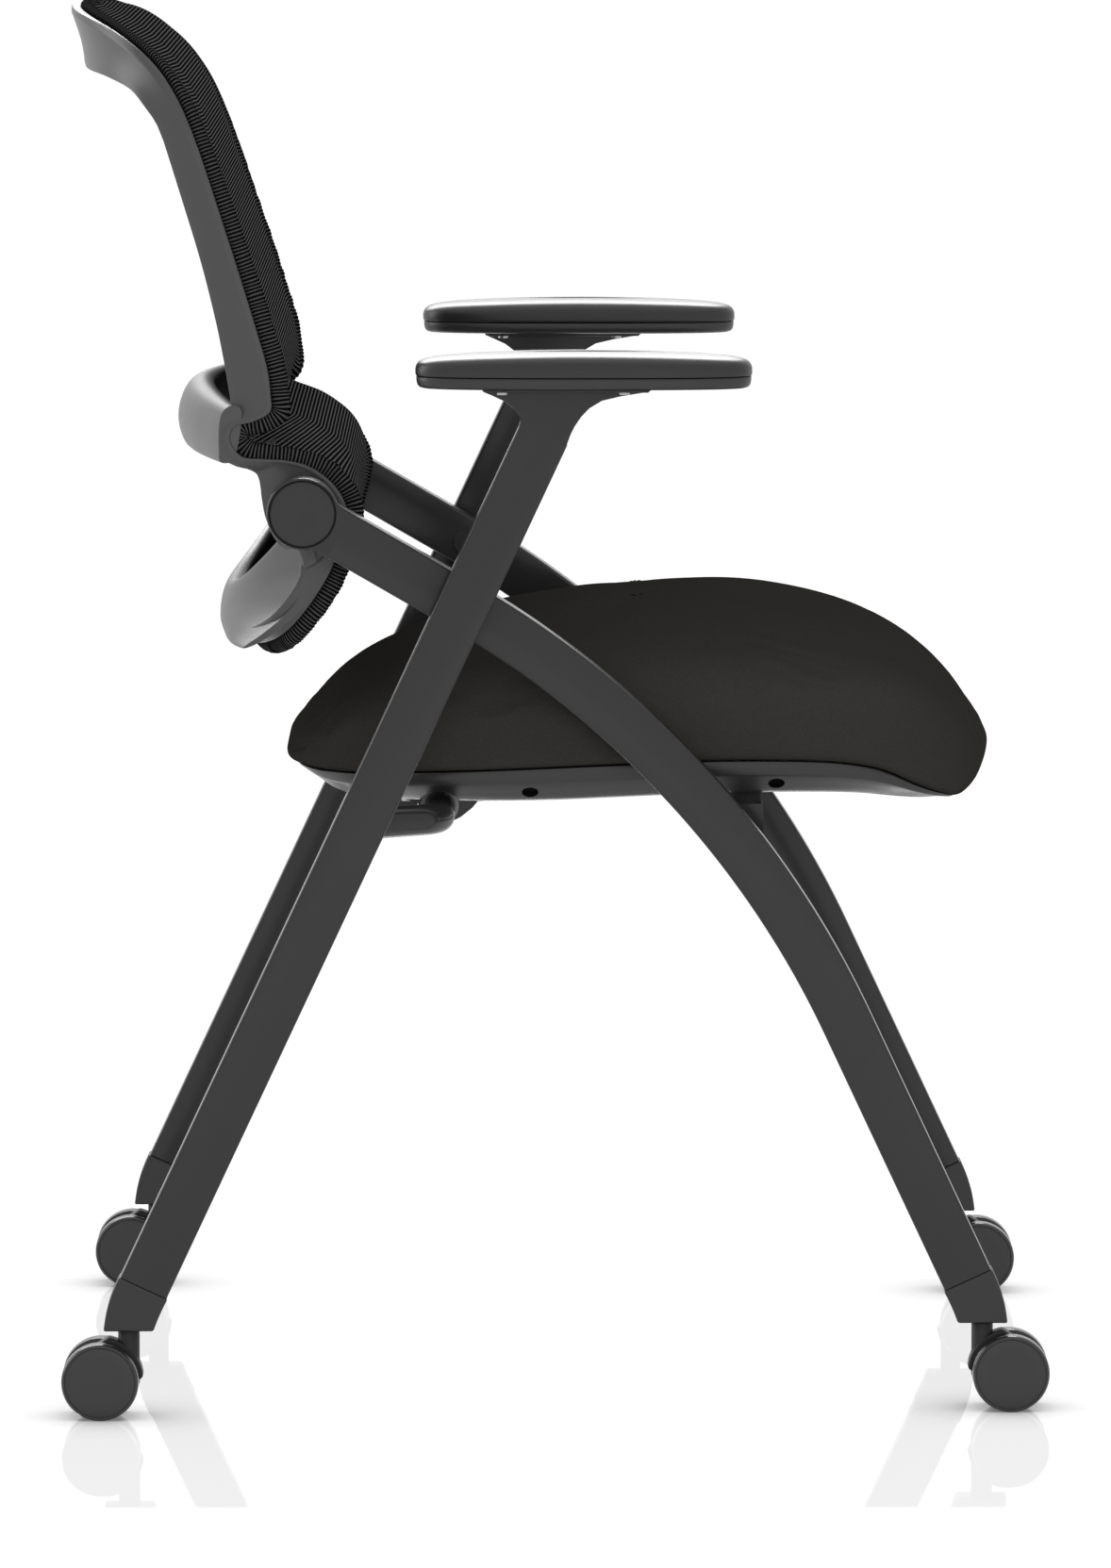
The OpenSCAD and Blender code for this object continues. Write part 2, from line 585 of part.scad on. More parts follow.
// Hinge bracket: a saddle round the rear bar with a flange up against the pan
module hinge_brackets() {
    for (side = [-1, 1]) hinge_bracket(side);
}
module hinge_bracket(side) {
    y0 = side * bracket_y - bracket_w / 2;
    y1 = side * bracket_y + bracket_w / 2;
    color(dark) difference() {
        union() {
            across(hinge, y0, y1, 2 * (groove_r - rest_gap));
            difference() {
                union() {
                    across(hinge, y0, y1, bracket_d);
                    side_plate([[bracket_x0, pan_low_z - flange_h], [bracket_x1, pan_low_z - flange_h],
                        [bracket_x1, pan_low_z], [bracket_x0, pan_low_z]], y0, y1);
                    side_plate([[-hinge_back, hinge_z], [-hinge_back, hinge_z - bracket_d / 2],
                        [bracket_x1 - flange_h, pan_low_z - flange_h], [-hinge_back, pan_low_z - flange_h]],
                        side * bracket_y - bracket_w / 4, side * bracket_y + bracket_w / 4);
                }
                translate([bracket_x0 - over, y0 - over, pan_low_z])
                    cube([bracket_x1 - bracket_x0 + 2 * over, bracket_w + 2 * over, bracket_d]);
            }
        }
        across(hinge, y0 - over, y1 + over, bush_d);
        bracket_screw_places() upright(screw_d + 2 * fit_gap, pan_low_z - flange_h - over,
            pan_low_z + over);
        bracket_screw_places() upright(screw_head_d + over, hinge_z - bracket_d, pan_low_z - flange_h);
    }
}
module hinge_bushes() {
    color("#6d6a64") for (side = [-1, 1]) difference() {
        across(hinge, side * bracket_y - bracket_w / 2, side * bracket_y + bracket_w / 2,
            bush_d - 2 * fit_gap);
        across(hinge, side * bracket_y - bracket_w / 2 - over, side * bracket_y + bracket_w / 2 + over,
            hinge_bar_d + 2 * fit_gap);
    }
}

// Buffers on the front cross tube, which the seat rests on
buffer_gap = 0.6;
buffer_top_z = pan_low(front_bar_x) - buffer_gap;
buffer_base_z = buffer_top_z - buffer_h;
tab_t = 18;
module at_buffers() {
    for (side = [-1, 1]) translate([front_bar_x, side * buffer_y, 0]) children();
}
module seat_stop_tabs() {
    color(dark) difference() {
        at_buffers() translate([-front_bar_d / 2, -tab_t / 2, front_bar_z])
            cube([front_bar_d, tab_t, buffer_base_z - front_bar_z]);
        across([front_bar_x, front_bar_z], -front_in, front_in, front_bar_d);
        at_buffers() upright(screw_d + 2 * fit_gap, buffer_base_z - buffer_h, buffer_base_z + over);
    }
}
module seat_buffers() {
    color("#161616") at_buffers() {
        upright(buffer_d, buffer_base_z, buffer_top_z);
        upright(screw_d, buffer_base_z - buffer_h, buffer_base_z);
    }
}

// Ferrules: plastic shoes that end the legs and hold the stem sockets
function leg_at(run) = [foot_x - run * sin(leg_lean), ferrule_z + run * cos(leg_lean)];
half_d = [cos(leg_lean) * tube_d / 2, sin(leg_lean) * tube_d / 2];
ferrule_side_share = 0.55;
ferrule_swell_shares = [0.08, 0.05];
module ferrule(sx, sy) {
    top = leg_at(ferrule_l);
    low_out = [stem_x + ferrule_foot_w / 2, ferrule_z];
    low_in = [stem_x - ferrule_foot_w / 2, ferrule_z];
    mid_out = blend(low_out, top + half_d, ferrule_side_share) + half_d * ferrule_swell_shares[0];
    mid_in = blend(low_in, top - half_d, ferrule_side_share) + half_d * ferrule_swell_shares[1];
    y_mid = sx > 0 ? front_y : rear_y;
    plug_l = tube_d / 2;
    color(dark) on_side(sy) mirror([sx > 0 ? 0 : 1, 0, 0]) difference() {
        union() {
            side_plate([low_in, low_out, mid_out, top + half_d, top - half_d, mid_in],
                y_mid - tube_t / 2, y_mid + tube_t / 2);
            translate([top[0], y_mid, top[1]]) rotate([0, -leg_lean, 0]) translate([0, 0, -over])
                linear_extrude(plug_l + over) plug_outline();
        }
        translate([stem_x, y_mid, 0]) upright(socket_d + 2 * fit_gap, ferrule_z - over,
            ferrule_z + stem_in_socket + rest_gap);
    }
}
module at_casters() {
    for (sx = [-1, 1]) for (sy = [-1, 1])
        translate([sx * stem_x, sy * (sx > 0 ? front_y : rear_y), 0]) children();
}
module stem_sockets() {
    color(metal) at_casters() difference() {
        upright(socket_d, ferrule_z, ferrule_z + stem_in_socket);
        upright(stem_d + 2 * fit_gap, ferrule_z - over, ferrule_z + stem_in_socket + over);
    }
}

// Casters, drawn about their stem with the axle trailing along +X, then placed at each foot
module place_caster(sx, sy) {
    translate([sx * stem_x, sy * (sx > 0 ? front_y : rear_y), 0]) rotate([0, 0, sx > 0 ? 0 : 180])
        children();
}
stem_low_z = axle_z + collar_d;
module caster_stem(sx, sy) {
    color(metal) place_caster(sx, sy) {
        upright(collar_d, stem_low_z, ferrule_z - rest_gap);
        upright(stem_d, ferrule_z - rest_gap, ferrule_z + stem_in_socket - over);
    }
}
hood_from = -4;
hood_to = 160;
module caster_hood(sx, sy) {
    color(dark) place_caster(sx, sy) difference() {
        union() {
            across([trail, axle_z], -web_t / 2, web_t / 2, wheel_d * web_r_share);
            translate([trail, 0, axle_z]) rotate([90, 0, 0]) rotate([0, 0, 180 - hood_to])
                rotate_extrude(angle = hood_to - hood_from)
                translate([hood_r - hood_t, -hood_w / 2]) square([hood_t, hood_w]);
            translate([trail, web_t / 2, axle_z]) rotate([90, 0, 0]) rotate([0, 0, 180 - hood_to])
                rotate_extrude(angle = hood_to - hood_from)
                translate([wheel_d * web_r_share / 4, 0])
                    square([hood_r - hood_t / 2 - wheel_d * web_r_share / 4,
                web_t]);
        }
        upright(collar_d + 2 * fit_gap, stem_low_z, wheel_d + hood_r);
        across([trail, axle_z], -web_t, web_t, axle_d + 2 * fit_gap);
    }
}
module caster_axle(sx, sy) {
    color(metal) place_caster(sx, sy)
        across([trail, axle_z], -wheel_gap / 2 - wheel_w + tyre_t, wheel_gap / 2 + wheel_w - tyre_t, axle_d);
}
// A wheel's half section: [distance from the axle, distance from its inner face]
hub_r_share = 0.34;
dish_share = 0.35;
module wheel(sx, sy, part) {
    r = wheel_d / 2;
    rim_r = r - tyre_t;
    hub_r = r * hub_r_share;
    hub_l = wheel_w * dish_share;
    color("#1c1c1d") place_caster(sx, sy) translate([trail, part * wheel_gap / 2, axle_z])
        rotate([-90 * part, 0, 0]) rotate_extrude() polygon([
            [axle_d / 2 + fit_gap, 0], [hub_r, 0], [hub_r, wheel_w - hub_l],
            [rim_r - tyre_t, wheel_w - hub_l],
            [rim_r - tyre_t, 0], [r - tyre_t / 2, 0], [r, tyre_t / 2], [r, wheel_w - tyre_t / 2],
            [r - tyre_t / 2, wheel_w], [rim_r, wheel_w], [rim_r - tyre_t / 4, wheel_w - tyre_t / 4],
            [rim_r - tyre_t / 2, wheel_w], [0, wheel_w], [0, wheel_w - tyre_t + fit_gap],
            [axle_d / 2 + fit_gap, wheel_w - tyre_t + fit_gap]]);
}

// Hubs at the upper ends of the front legs
hub_floor = 3;
cap_proud = 0.6;
cavity_d = hub_cap_d - 2 * tube_wall - 4 * fit_gap;
cap_recess_d = hub_cap_d + 2 * fit_gap;
pivot_gap = 0.5;
plate_out = front_in - pivot_gap;
module hub_housing(side) {
    color(dark) on_side(side) difference() {
        union() {
            across(hub, front_in, front_out, hub_d);
            translate([hub[0], front_y, hub[1]]) rotate([0, 180 - upper_tilt, 0]) {
                linear_extrude(hub_neck_l) square([tube_d, tube_t - over / 2], center = true);
                translate([0, 0, hub_neck_l - over]) linear_extrude(tube_d / 2 + over) plug_outline();
            }
        }
        across(hub, front_in + hub_floor, front_out - hub_cap_t, cavity_d);
        across(hub, front_out - hub_cap_t, front_out + over, cap_recess_d);
        across(hub, front_in - over, front_out, hub_pin_d + 2 * fit_gap);
    }
}
module hub_caps() {
    color(steel) for (side = [-1, 1]) on_side(side)
        across(hub, front_out - hub_cap_t, front_out + cap_proud, hub_cap_d);
}
pin_in_share = 0.8;
bush_t = 1.5;
module hub_pins() {
    color(metal) for (side = [-1, 1]) on_side(side) {
        across(hub, rim_half_w - rim_t * pin_in_share, front_out - hub_cap_t - rest_gap, hub_pin_d);
        across(hub, front_in + hub_floor, front_in + hub_floor + bush_t, hub_pin_d + 2 * bush_t);
    }
}
module hub_bushes() {
    color("#6d6a64") for (side = [-1, 1]) on_side(side) difference() {
        across(hub, rim_half_w, plate_out, hub_pin_d + 2 * fit_gap + 2 * bush_t);
        across(hub, rim_half_w - over, plate_out + over, hub_pin_d + 2 * fit_gap);
    }
}
// Each return spring is a coil inside its hub, here as the ring of space that the coil fills
module tilt_springs() {
    color(metal) for (side = [-1, 1]) on_side(side) difference() {
        across(hub, front_in + hub_floor + bush_t + rest_gap, front_out - hub_cap_t - rest_gap,
            cavity_d - 2 * rest_gap);
        across(hub, front_in, front_out, hub_pin_d + 6 * bush_t);
    }
}
module pivot_plates() {
    color(dark) for (side = [-1, 1]) on_side(side) difference() {
        across(hub, rim_half_w, plate_out, hub_d - 2 * tube_wall);
        across(hub, rim_half_w - over, plate_out + over, hub_pin_d + 4 * fit_gap + 2 * bush_t);
    }
}

// Back
pin_bore_d = hub_pin_d + 2 * fit_gap;
module back_rim() {
    color(grey) difference() {
        loop_loft([for (e = rim_loop) rim_section(e)]);
        across(hub, -rim_half_w - over, -rim_half_w + rim_t + over, pin_bore_d);
        across(hub, rim_half_w - rim_t - over, rim_half_w + over, pin_bore_d);
    }
}
roll_sides = 6;
roll_in_share = 0.55;
roll_in = rim_t * roll_in_share;
// The roll is thinner where the rim turns sharply at the waist: [station share, share of its diameter]
roll_shares = [[0, 1], [0.27, 1], [0.36, 0.42], [0.62, 0.42], [0.70, 1], [1, 1]];
tangent_share = 0.004;
function rim_run(t) =
    let (v = rim_front(min(t + tangent_share, 1)) - rim_front(max(t - tangent_share, 0))) v / norm(v);
function roll_r(t) = roll_d / 2 * lookup(t, roll_shares);
function roll_section(e) =
    let (y = e[0] + e[2] * roll_in, t = min(max(e[1] + e[3] * roll_in / back_h, 0), 1), o = rim_out(t),
        q = rim_run(t) * e[3], r = roll_r(t), c = rim_front(t) + o * (r + rest_gap))
    [for (k = [0:roll_sides - 1]) let (w = k * 360 / roll_sides, f = cos(w) * r, g = sin(w) * r)
        [c[0] + o[0] * f + q[0] * g, y + e[2] * g, c[1] + o[1] * f + q[1] * g]];
module mesh_roll() {
    color("#141414") loop_loft([for (e = rim_loop) roll_section(e)]);
}
mesh_edge = roll_in + roll_d / 2 + rest_gap;
mesh_edge_y = rim_half_w - mesh_edge;
mesh_cols_share = [-1, -0.86, -0.7, -0.45, 0, 0.45, 0.7, 0.86, 1];
mesh_rows = 54;
mesh_end_reach = 1.4;
mesh_ends_share = mesh_end_reach * mesh_edge / back_h;
mesh_blend_share = 0.34;
mesh_lift_share = 0.7;
function mesh_w(t) =
    let (a = max(0, (t - high_corner_share) / (1 - mesh_ends_share - high_corner_share)),
        b = max(0, (low_corner_share - t) / (low_corner_share - mesh_ends_share)), m = max(a, b))
    mesh_edge_y * pow(1 - pow(min(m, mesh_w_cap), corner_power), 1 / corner_power);
mesh_w_cap = 0.985;
function mesh_front(t, c) =
    let (f = rim_front(t) + rim_out(t) * (roll_d * mesh_lift_share), m = back_point(mesh_mid_shares, t),
        w = smooth((1 - abs(c)) / mesh_blend_share))
    blend(f, m, w);
function mesh_ring(t) =
    let (w = mesh_w(t), o = rim_out(t))
    concat([for (c = mesh_cols_share) at(mesh_front(t, c), c * w)],
        [for (k = [len(mesh_cols_share) - 1:-1:0]) let (c = mesh_cols_share[k])
            at(mesh_front(t, c) - o * mesh_t, c * w)]);
module back_mesh() {
    color("#1b1b1b") loft([for (k = [0:mesh_rows])
        mesh_ring(blend(mesh_ends_share, 1 - mesh_ends_share, k / mesh_rows))]);
}
// Bands across the back, bowed to the rear between the rim's sides
band_steps = 16;
band_end_y = rim_half_w - rim_t;
module bowed_band(end, height, bow, sag, bow_power, low_back) {
    lean = band_t / 3;
    color(grey) loft([for (k = [0:band_steps])
        let (v = 2 * k / band_steps - 1, w = pow(abs(v), bow_power), y = v * band_end_y,
            x0 = end[0] - bow * (1 - w), x1 = x0 + band_t, z = end[1] - sag * (1 - w), h = height / 2,
            low_lean = lean - low_back * w)
        [[x0 + low_lean, y, z - h], [x0, y, z - h / 2], [x0, y, z + h / 2], [x0 + lean, y, z + h],
            [x1 + lean, y, z + h], [x1, y, z], [x1 + low_lean, y, z - h]]]);
}
waist_share = 0.5;
waist_rise_share = 0.28;
module waist_bar() {
    end = rim_rear(waist_share);
    bowed_band([end[0], end[1] + waist_bar_h * waist_rise_share], waist_bar_h, waist_bow, 0, 2, 0);
}
lower_share = 0.185;
lower_drop_share = 0.95;
lower_bar_h = back_h * lower_bar_h_share;
// The lower edge draws back towards the ends, behind the rim's lower corners
lower_low_back = 20;
module lower_bar() {
    end = rim_rear(lower_share);
    bowed_band([end[0], end[1] - lower_bar_h * lower_drop_share], lower_bar_h, lower_bow, lower_sag, 2.6,
        lower_low_back);
}

// Arms
post_top = [-foot_x + (post_top_z - ferrule_z) * tan(leg_lean), post_top_z];
pad_x = post_top[0] + pad_forward;
half_post = [cos(leg_lean) * tube_d / 2, -sin(leg_lean) * tube_d / 2];
bracket_top_z = pad_low_z;
bracket_mid = pad_x - flange_l / 8;
// The bracket's front and rear edges from post to flange, as shares of its height
bracket_front_shares = [[0.24, 0.34], [0.62, 0.62], [1.3, 0.84]];
bracket_rear_shares = [[-0.42, 0.56], [-0.08, 0.38]];
module arm_bracket(side) {
    rise = bracket_top_z - post_top_z;
    a = post_top - half_post;
    b = post_top + half_post;
    x0 = bracket_mid - flange_l / 2;
    x1 = bracket_mid + flange_l / 2;
    flange_z = bracket_top_z - flange_t / 2;
    color(dark) on_side(side) difference() {
        union() {
            side_plate(concat([a, b], [for (s = bracket_front_shares) b + rise * s],
                [[x1, flange_z], [x1, bracket_top_z], [x0, bracket_top_z], [x0, flange_z]],
                [for (s = bracket_rear_shares) a + rise * s]), rear_in, rear_out);
            translate([x0, rear_y - flange_w / 2, flange_z])
                cube([flange_l, flange_w, flange_t / 2]);
            translate([post_top[0], rear_y, post_top[1]]) rotate([0, leg_lean + 180, 0])
                translate([0, 0, -over]) linear_extrude(tube_d / 2 + over) plug_outline();
        }
        arm_screw_places() upright(arm_screw_d + 2 * fit_gap, flange_z - over, bracket_top_z + over);
    }
}
pad_sides = 36;
pad_power = 3.2;
function pad_ring(inset, z) = [for (k = [0:pad_sides - 1])
    let (s = super(k * 360 / pad_sides, pad_power))
    [pad_x + (pad_l / 2 - inset) * s[0], rear_y + (pad_w / 2 - inset) * s[1], z]];
// Rings of the pad: [inset as a share of its width, height as a share of its thickness]
pad_ring_shares = [[0.012, 0], [0, 0.12], [0, 0.42], [0.02, 0.62], [0.07, 0.80], [0.16, 0.92], [0.30, 0.98]];
module arm_pad(side) {
    color("#2b2b2c") on_side(side) ring_stack([for (s = pad_ring_shares)
        pad_ring(s[0] * pad_w, pad_part_z + s[1] * pad_h)],
        [pad_x, rear_y, pad_top_z], [pad_x, rear_y, pad_part_z]);
}
base_ring_shares = [[0.07, 0], [0.02, 0.4], [0.012, 1]];
module arm_bases() {
    color(dark) for (side = [-1, 1]) on_side(side) difference() {
        ring_stack([for (s = base_ring_shares) pad_ring(s[0] * pad_w, blend(pad_low_z, pad_part_z, s[1]))],
            [pad_x, rear_y, pad_part_z], [pad_x, rear_y, pad_low_z]);
        arm_screw_places() upright(arm_screw_d, pad_low_z - over, pad_part_z - arm_screw_end);
    }
}
arm_screw_shares = [-0.36, 0.36];
arm_screw_d = 3.5;
arm_screw_head_d = 7.6;
arm_screw_head_t = 1.6;
arm_screw_end = 2;
module arm_screw_places() {
    for (a = arm_screw_shares) for (b = arm_screw_shares)
        translate([bracket_mid + a * flange_l, rear_y + b * flange_w, 0]) children();
}
module arm_screws() {
    flange_z = bracket_top_z - flange_t / 2;
    color(metal) for (side = [-1, 1]) on_side(side) arm_screw_places() {
        upright(arm_screw_head_d, flange_z - arm_screw_head_t, flange_z);
        upright(arm_screw_d, flange_z, pad_part_z - arm_screw_end);
    }
}

// Foot name, then its place: 1 is front or left, -1 is rear or right
FEET = [["front_left", 1, 1], ["front_right", 1, -1], ["rear_left", -1, 1], ["rear_right", -1, -1]];

rear_leg(1);  // rear_leg_left
rear_leg(-1);  // rear_leg_right
front_leg(1);  // front_leg_left
front_leg(-1);  // front_leg_right
cross_spacers();
cross_bolts();
seat_hinge_bar();
front_cross_tube();
seat_stop_tabs();
seat_buffers();
stem_sockets();
arm_bracket(1);  // arm_bracket_left
arm_bracket(-1);  // arm_bracket_right
arm_bases();
arm_pad(1);  // arm_pad_left
arm_pad(-1);  // arm_pad_right
arm_screws();
hub_housing(1);  // hub_housing_left
hub_housing(-1);  // hub_housing_right
hub_caps();
hub_pins();
tilt_springs();
hub_bushes();
pivot_plates();
back_rim();
waist_bar();
lower_bar();
back_mesh();
mesh_roll();
seat_pan();
seat_board();
seat_cushion();
hinge_brackets();
hinge_bushes();
bracket_screws();
pan_screws();
for (f = FEET) {
    ferrule(f[1], f[2]);
    caster_stem(f[1], f[2]);
    caster_hood(f[1], f[2]);
    wheel(f[1], f[2], -f[2]);
    wheel(f[1], f[2], f[2]);
    caster_axle(f[1], f[2]);
}
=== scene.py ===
"""Nesting chair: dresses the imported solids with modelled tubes, mouldings, mesh cloth and a padded seat.

+X is the chair's front, +Y the sitter's left, +Z up. Sizes here are in millimetres and become metres in mesh_piece.
"""
import json
import math

import bmesh
import bpy
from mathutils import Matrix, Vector, noise


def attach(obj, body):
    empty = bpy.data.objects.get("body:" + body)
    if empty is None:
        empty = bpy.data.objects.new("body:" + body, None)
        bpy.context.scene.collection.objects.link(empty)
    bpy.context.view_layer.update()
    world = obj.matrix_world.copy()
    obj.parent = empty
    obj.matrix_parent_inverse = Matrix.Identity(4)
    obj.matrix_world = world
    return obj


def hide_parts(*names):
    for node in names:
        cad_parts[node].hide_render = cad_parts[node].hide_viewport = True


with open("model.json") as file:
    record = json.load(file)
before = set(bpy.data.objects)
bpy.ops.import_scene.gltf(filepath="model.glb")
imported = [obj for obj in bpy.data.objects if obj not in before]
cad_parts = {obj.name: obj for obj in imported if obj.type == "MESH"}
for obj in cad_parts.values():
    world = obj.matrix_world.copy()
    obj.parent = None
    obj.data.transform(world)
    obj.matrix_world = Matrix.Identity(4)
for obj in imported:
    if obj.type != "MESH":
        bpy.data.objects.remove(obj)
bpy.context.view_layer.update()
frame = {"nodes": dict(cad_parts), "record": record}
MM = 0.001
FEET = ("front_left", "front_right", "rear_left", "rear_right")
SIDES = (("left", 1), ("right", -1))


# Driving sizes, the same as the solids'
TUBE_D, TUBE_T, TUBE_CORNER = 33.0, 22.0, 2.0
LEG_LEAN = math.radians(25.1)
FOOT_X, FERRULE_Z, FERRULE_L, FERRULE_W = 280.0, 57.0, 31.0, 32.3
STEM_X = 276.6
REAR_Y, FRONT_Y = 285.0, 252.0
POST_TOP_Z = 637.3
BEND_R = 616.0
UPPER_TILT = math.radians(60)
HUB = (-163.6, 583.6)
HUB_D, CAP_D, NECK_L = 46.4, 42.0, 27.6
WHEEL_R, WHEEL_W, WHEEL_GAP, TRAIL = 25.0, 14.0, 15.8, 18.2
HINGE = (-76.0, 384.0)
HINGE_BAR_D = 20.0
SEAT_REAR, SEAT_FRONT, PAN_FRONT, SEAT_HALF_W = -179.0, 287.0, 280.0, 232.0
RIM_HALF_W, RIM_T = 226.0, 13.0
# Gap from a ferrule to its tube, and a shell on a tube's end: inside the tube's faces by, and over its end by
FERRULE_GAP, SHELL_INSET, SHELL_LAP = 0.4, 0.12, 3.0


# Small vector helpers in the chair's side plane
def lerp(a, b, t):
    return a + (b - a) * t


def lerp2(p, q, t):
    return (lerp(p[0], q[0], t), lerp(p[1], q[1], t))


def moved(p, way, far):
    return (p[0] + way[0] * far, p[1] + way[1] * far)


def smooth_step(t):
    t = min(max(t, 0.0), 1.0)
    return t * t * (3 - 2 * t)


def unit(v):
    length = math.hypot(*v)
    return tuple(c / length for c in v)


def table(x, rows):
    """Value at x on a smooth line through rows of (place, value)."""
    if x <= rows[0][0]:
        return rows[0][1]
    for i in range(len(rows) - 1):
        if x <= rows[i + 1][0]:
            x0, v0 = rows[i]
            x1, v1 = rows[i + 1]
            before = rows[max(i - 1, 0)]
            after = rows[min(i + 2, len(rows) - 1)]
            slope0 = (v1 - before[1]) / max(x1 - before[0], 1e-6)
            slope1 = (after[1] - v0) / max(after[0] - x0, 1e-6)
            h = x1 - x0
            t = (x - x0) / h
            return ((2 * t ** 3 - 3 * t ** 2 + 1) * v0 + (t ** 3 - 2 * t ** 2 + t) * h * slope0
                    + (3 * t ** 2 - 2 * t ** 3) * v1 + (t ** 3 - t ** 2) * h * slope1)
    return rows[-1][1]


def spline(points, t):
    """Point at share t on a smooth line through evenly spaced points."""
    last = len(points) - 1
    i = min(int(t * last), last - 1)
    f = t * last - i
    a, b, c, d = points[max(i - 1, 0)], points[i], points[i + 1], points[min(i + 2, last)]
    return tuple(b[k] + f * (c[k] - a[k]) / 2 + f * f * (2 * a[k] - 5 * b[k] + 4 * c[k] - d[k]) / 2
                 + f ** 3 * (3 * b[k] - a[k] - 3 * c[k] + d[k]) / 2 for k in range(len(b)))


def arc(cx, cz, r, start, end, steps):
    """Points of an arc, angles in degrees."""
    return [(cx + r * math.cos(math.radians(lerp(start, end, k / steps))),
             cz + r * math.sin(math.radians(lerp(start, end, k / steps)))) for k in range(steps + 1)]


# Materials
MOTTLE = 0.12
COAT_ROUGHNESS = 0.14
# Rib pitch in metres, and the colour of the painted shade in the ribs' valleys
RIB_PITCH, RIB_VALLEY_SHADE = 0.0024, 0.002


def shader(name):
    material = bpy.data.materials.new(name)
    material.use_nodes = True
    tree = material.node_tree
    return material, tree, tree.nodes["Principled BSDF"]


def is_socket(value):
    return hasattr(value, "is_output")


def set_inputs(tree, node, inputs):
    """Gives each input its value, or a link where the value is another node's output."""
    for key, value in inputs.items():
        if is_socket(value):
            tree.links.new(value, node.inputs[key])
        else:
            node.inputs[key].default_value = value


def add_node(tree, kind, inputs=None, **settings):
    node = tree.nodes.new(kind)
    for key, value in settings.items():
        setattr(node, key, value)
    set_inputs(tree, node, inputs or {})
    return node


def object_place(tree):
    return add_node(tree, "ShaderNodeTexCoord").outputs["Object"]


def maths(tree, operation, *values):
    return add_node(tree, "ShaderNodeMath", dict(enumerate(values)), operation=operation).outputs[0]


def cloud(tree, place, scale, detail=2.0, roughness=0.5):
    return add_node(tree, "ShaderNodeTexNoise", {"Vector": place, "Scale": scale, "Detail": detail,
                                                 "Roughness": roughness}).outputs["Fac"]


def map_range(tree, value, low, high, start=0.0, end=1.0):
    """A line from low to high, as value goes from start to end."""
    return add_node(tree, "ShaderNodeMapRange", {"Value": value, "From Min": start, "From Max": end, "To Min": low,
                                                 "To Max": high}).outputs["Result"]


def relief(tree, height, strength, distance):
    return add_node(tree, "ShaderNodeBump", {"Height": height, "Strength": strength,
                                             "Distance": distance}).outputs["Normal"]


def colour_mix(tree, factor, low, high, blend="MIX"):
    low, high = (colour if is_socket(colour) else (*colour, 1) for colour in (low, high))
    return add_node(tree, "ShaderNodeMix", {0: factor, 6: low, 7: high}, data_type="RGBA",
                    blend_type=blend).outputs[2]


def grey(value, warmth=0.0):
    return (value * (1 + warmth), value, value * (1 - warmth))


def drifted(tree, colour, drift):
    """Colour that goes up to a tenth darker and lighter over the piece."""
    return colour_mix(tree, 1.0, colour, colour_mix(tree, drift, grey(0.9), grey(1.1)), "MULTIPLY")


def moulded(name, base, rough, spec=0.4, grain=1500.0, bump=0.03, coat=0.0, warmth=0.0, smears=0.05):
    """Painted or moulded surface: fine grain in the bump, and slight drifts of colour and gloss."""
    material, tree, bsdf = shader(name)
    place = object_place(tree)
    fine, broad = cloud(tree, place, grain), cloud(tree, place, 14.0, 4.0)
    speck = colour_mix(tree, fine, grey(base * (1 - MOTTLE), warmth), grey(base * (1 + MOTTLE), warmth))
    set_inputs(tree, bsdf, {"Base Color": drifted(tree, speck, broad),
                            "Roughness": map_range(tree, broad, rough - smears, rough + smears),
                            "Normal": relief(tree, fine, bump, 0.0004), "Specular IOR Level": spec,
                            "Coat Weight": coat, "Coat Roughness": COAT_ROUGHNESS})
    return material


def metal(name, base, rough):
    material, tree, bsdf = shader(name)
    fine = cloud(tree, object_place(tree), 900.0, 3.0)
    set_inputs(tree, bsdf, {"Base Color": colour_mix(tree, fine, grey(base * 0.85), grey(base * 1.1)),
                            "Roughness": map_range(tree, fine, rough - 0.08, rough + 0.08), "Metallic": 1.0})
    return material


def seat_weave(name):
    """Upholstery cloth: matt, with a fine irregular weave in the colour and the relief."""
    material, tree, bsdf = shader(name)
    place = object_place(tree)
    yarn = cloud(tree, place, 850.0, 3.0, 0.7)
    fuzz = add_node(tree, "ShaderNodeTexVoronoi", {"Vector": place, "Scale": 700.0}, feature="F1")
    height = maths(tree, "MULTIPLY_ADD", fuzz.outputs["Distance"], 0.5, yarn)
    tone = colour_mix(tree, yarn, (0.0235, 0.0226, 0.0205), (0.0440, 0.0420, 0.0380))
    set_inputs(tree, bsdf, {"Base Color": drifted(tree, tone, cloud(tree, place, 9.0, 3.0)), "Roughness": 0.95,
                            "Normal": relief(tree, height, 0.4, 0.0005), "Specular IOR Level": 0.0})
    return material


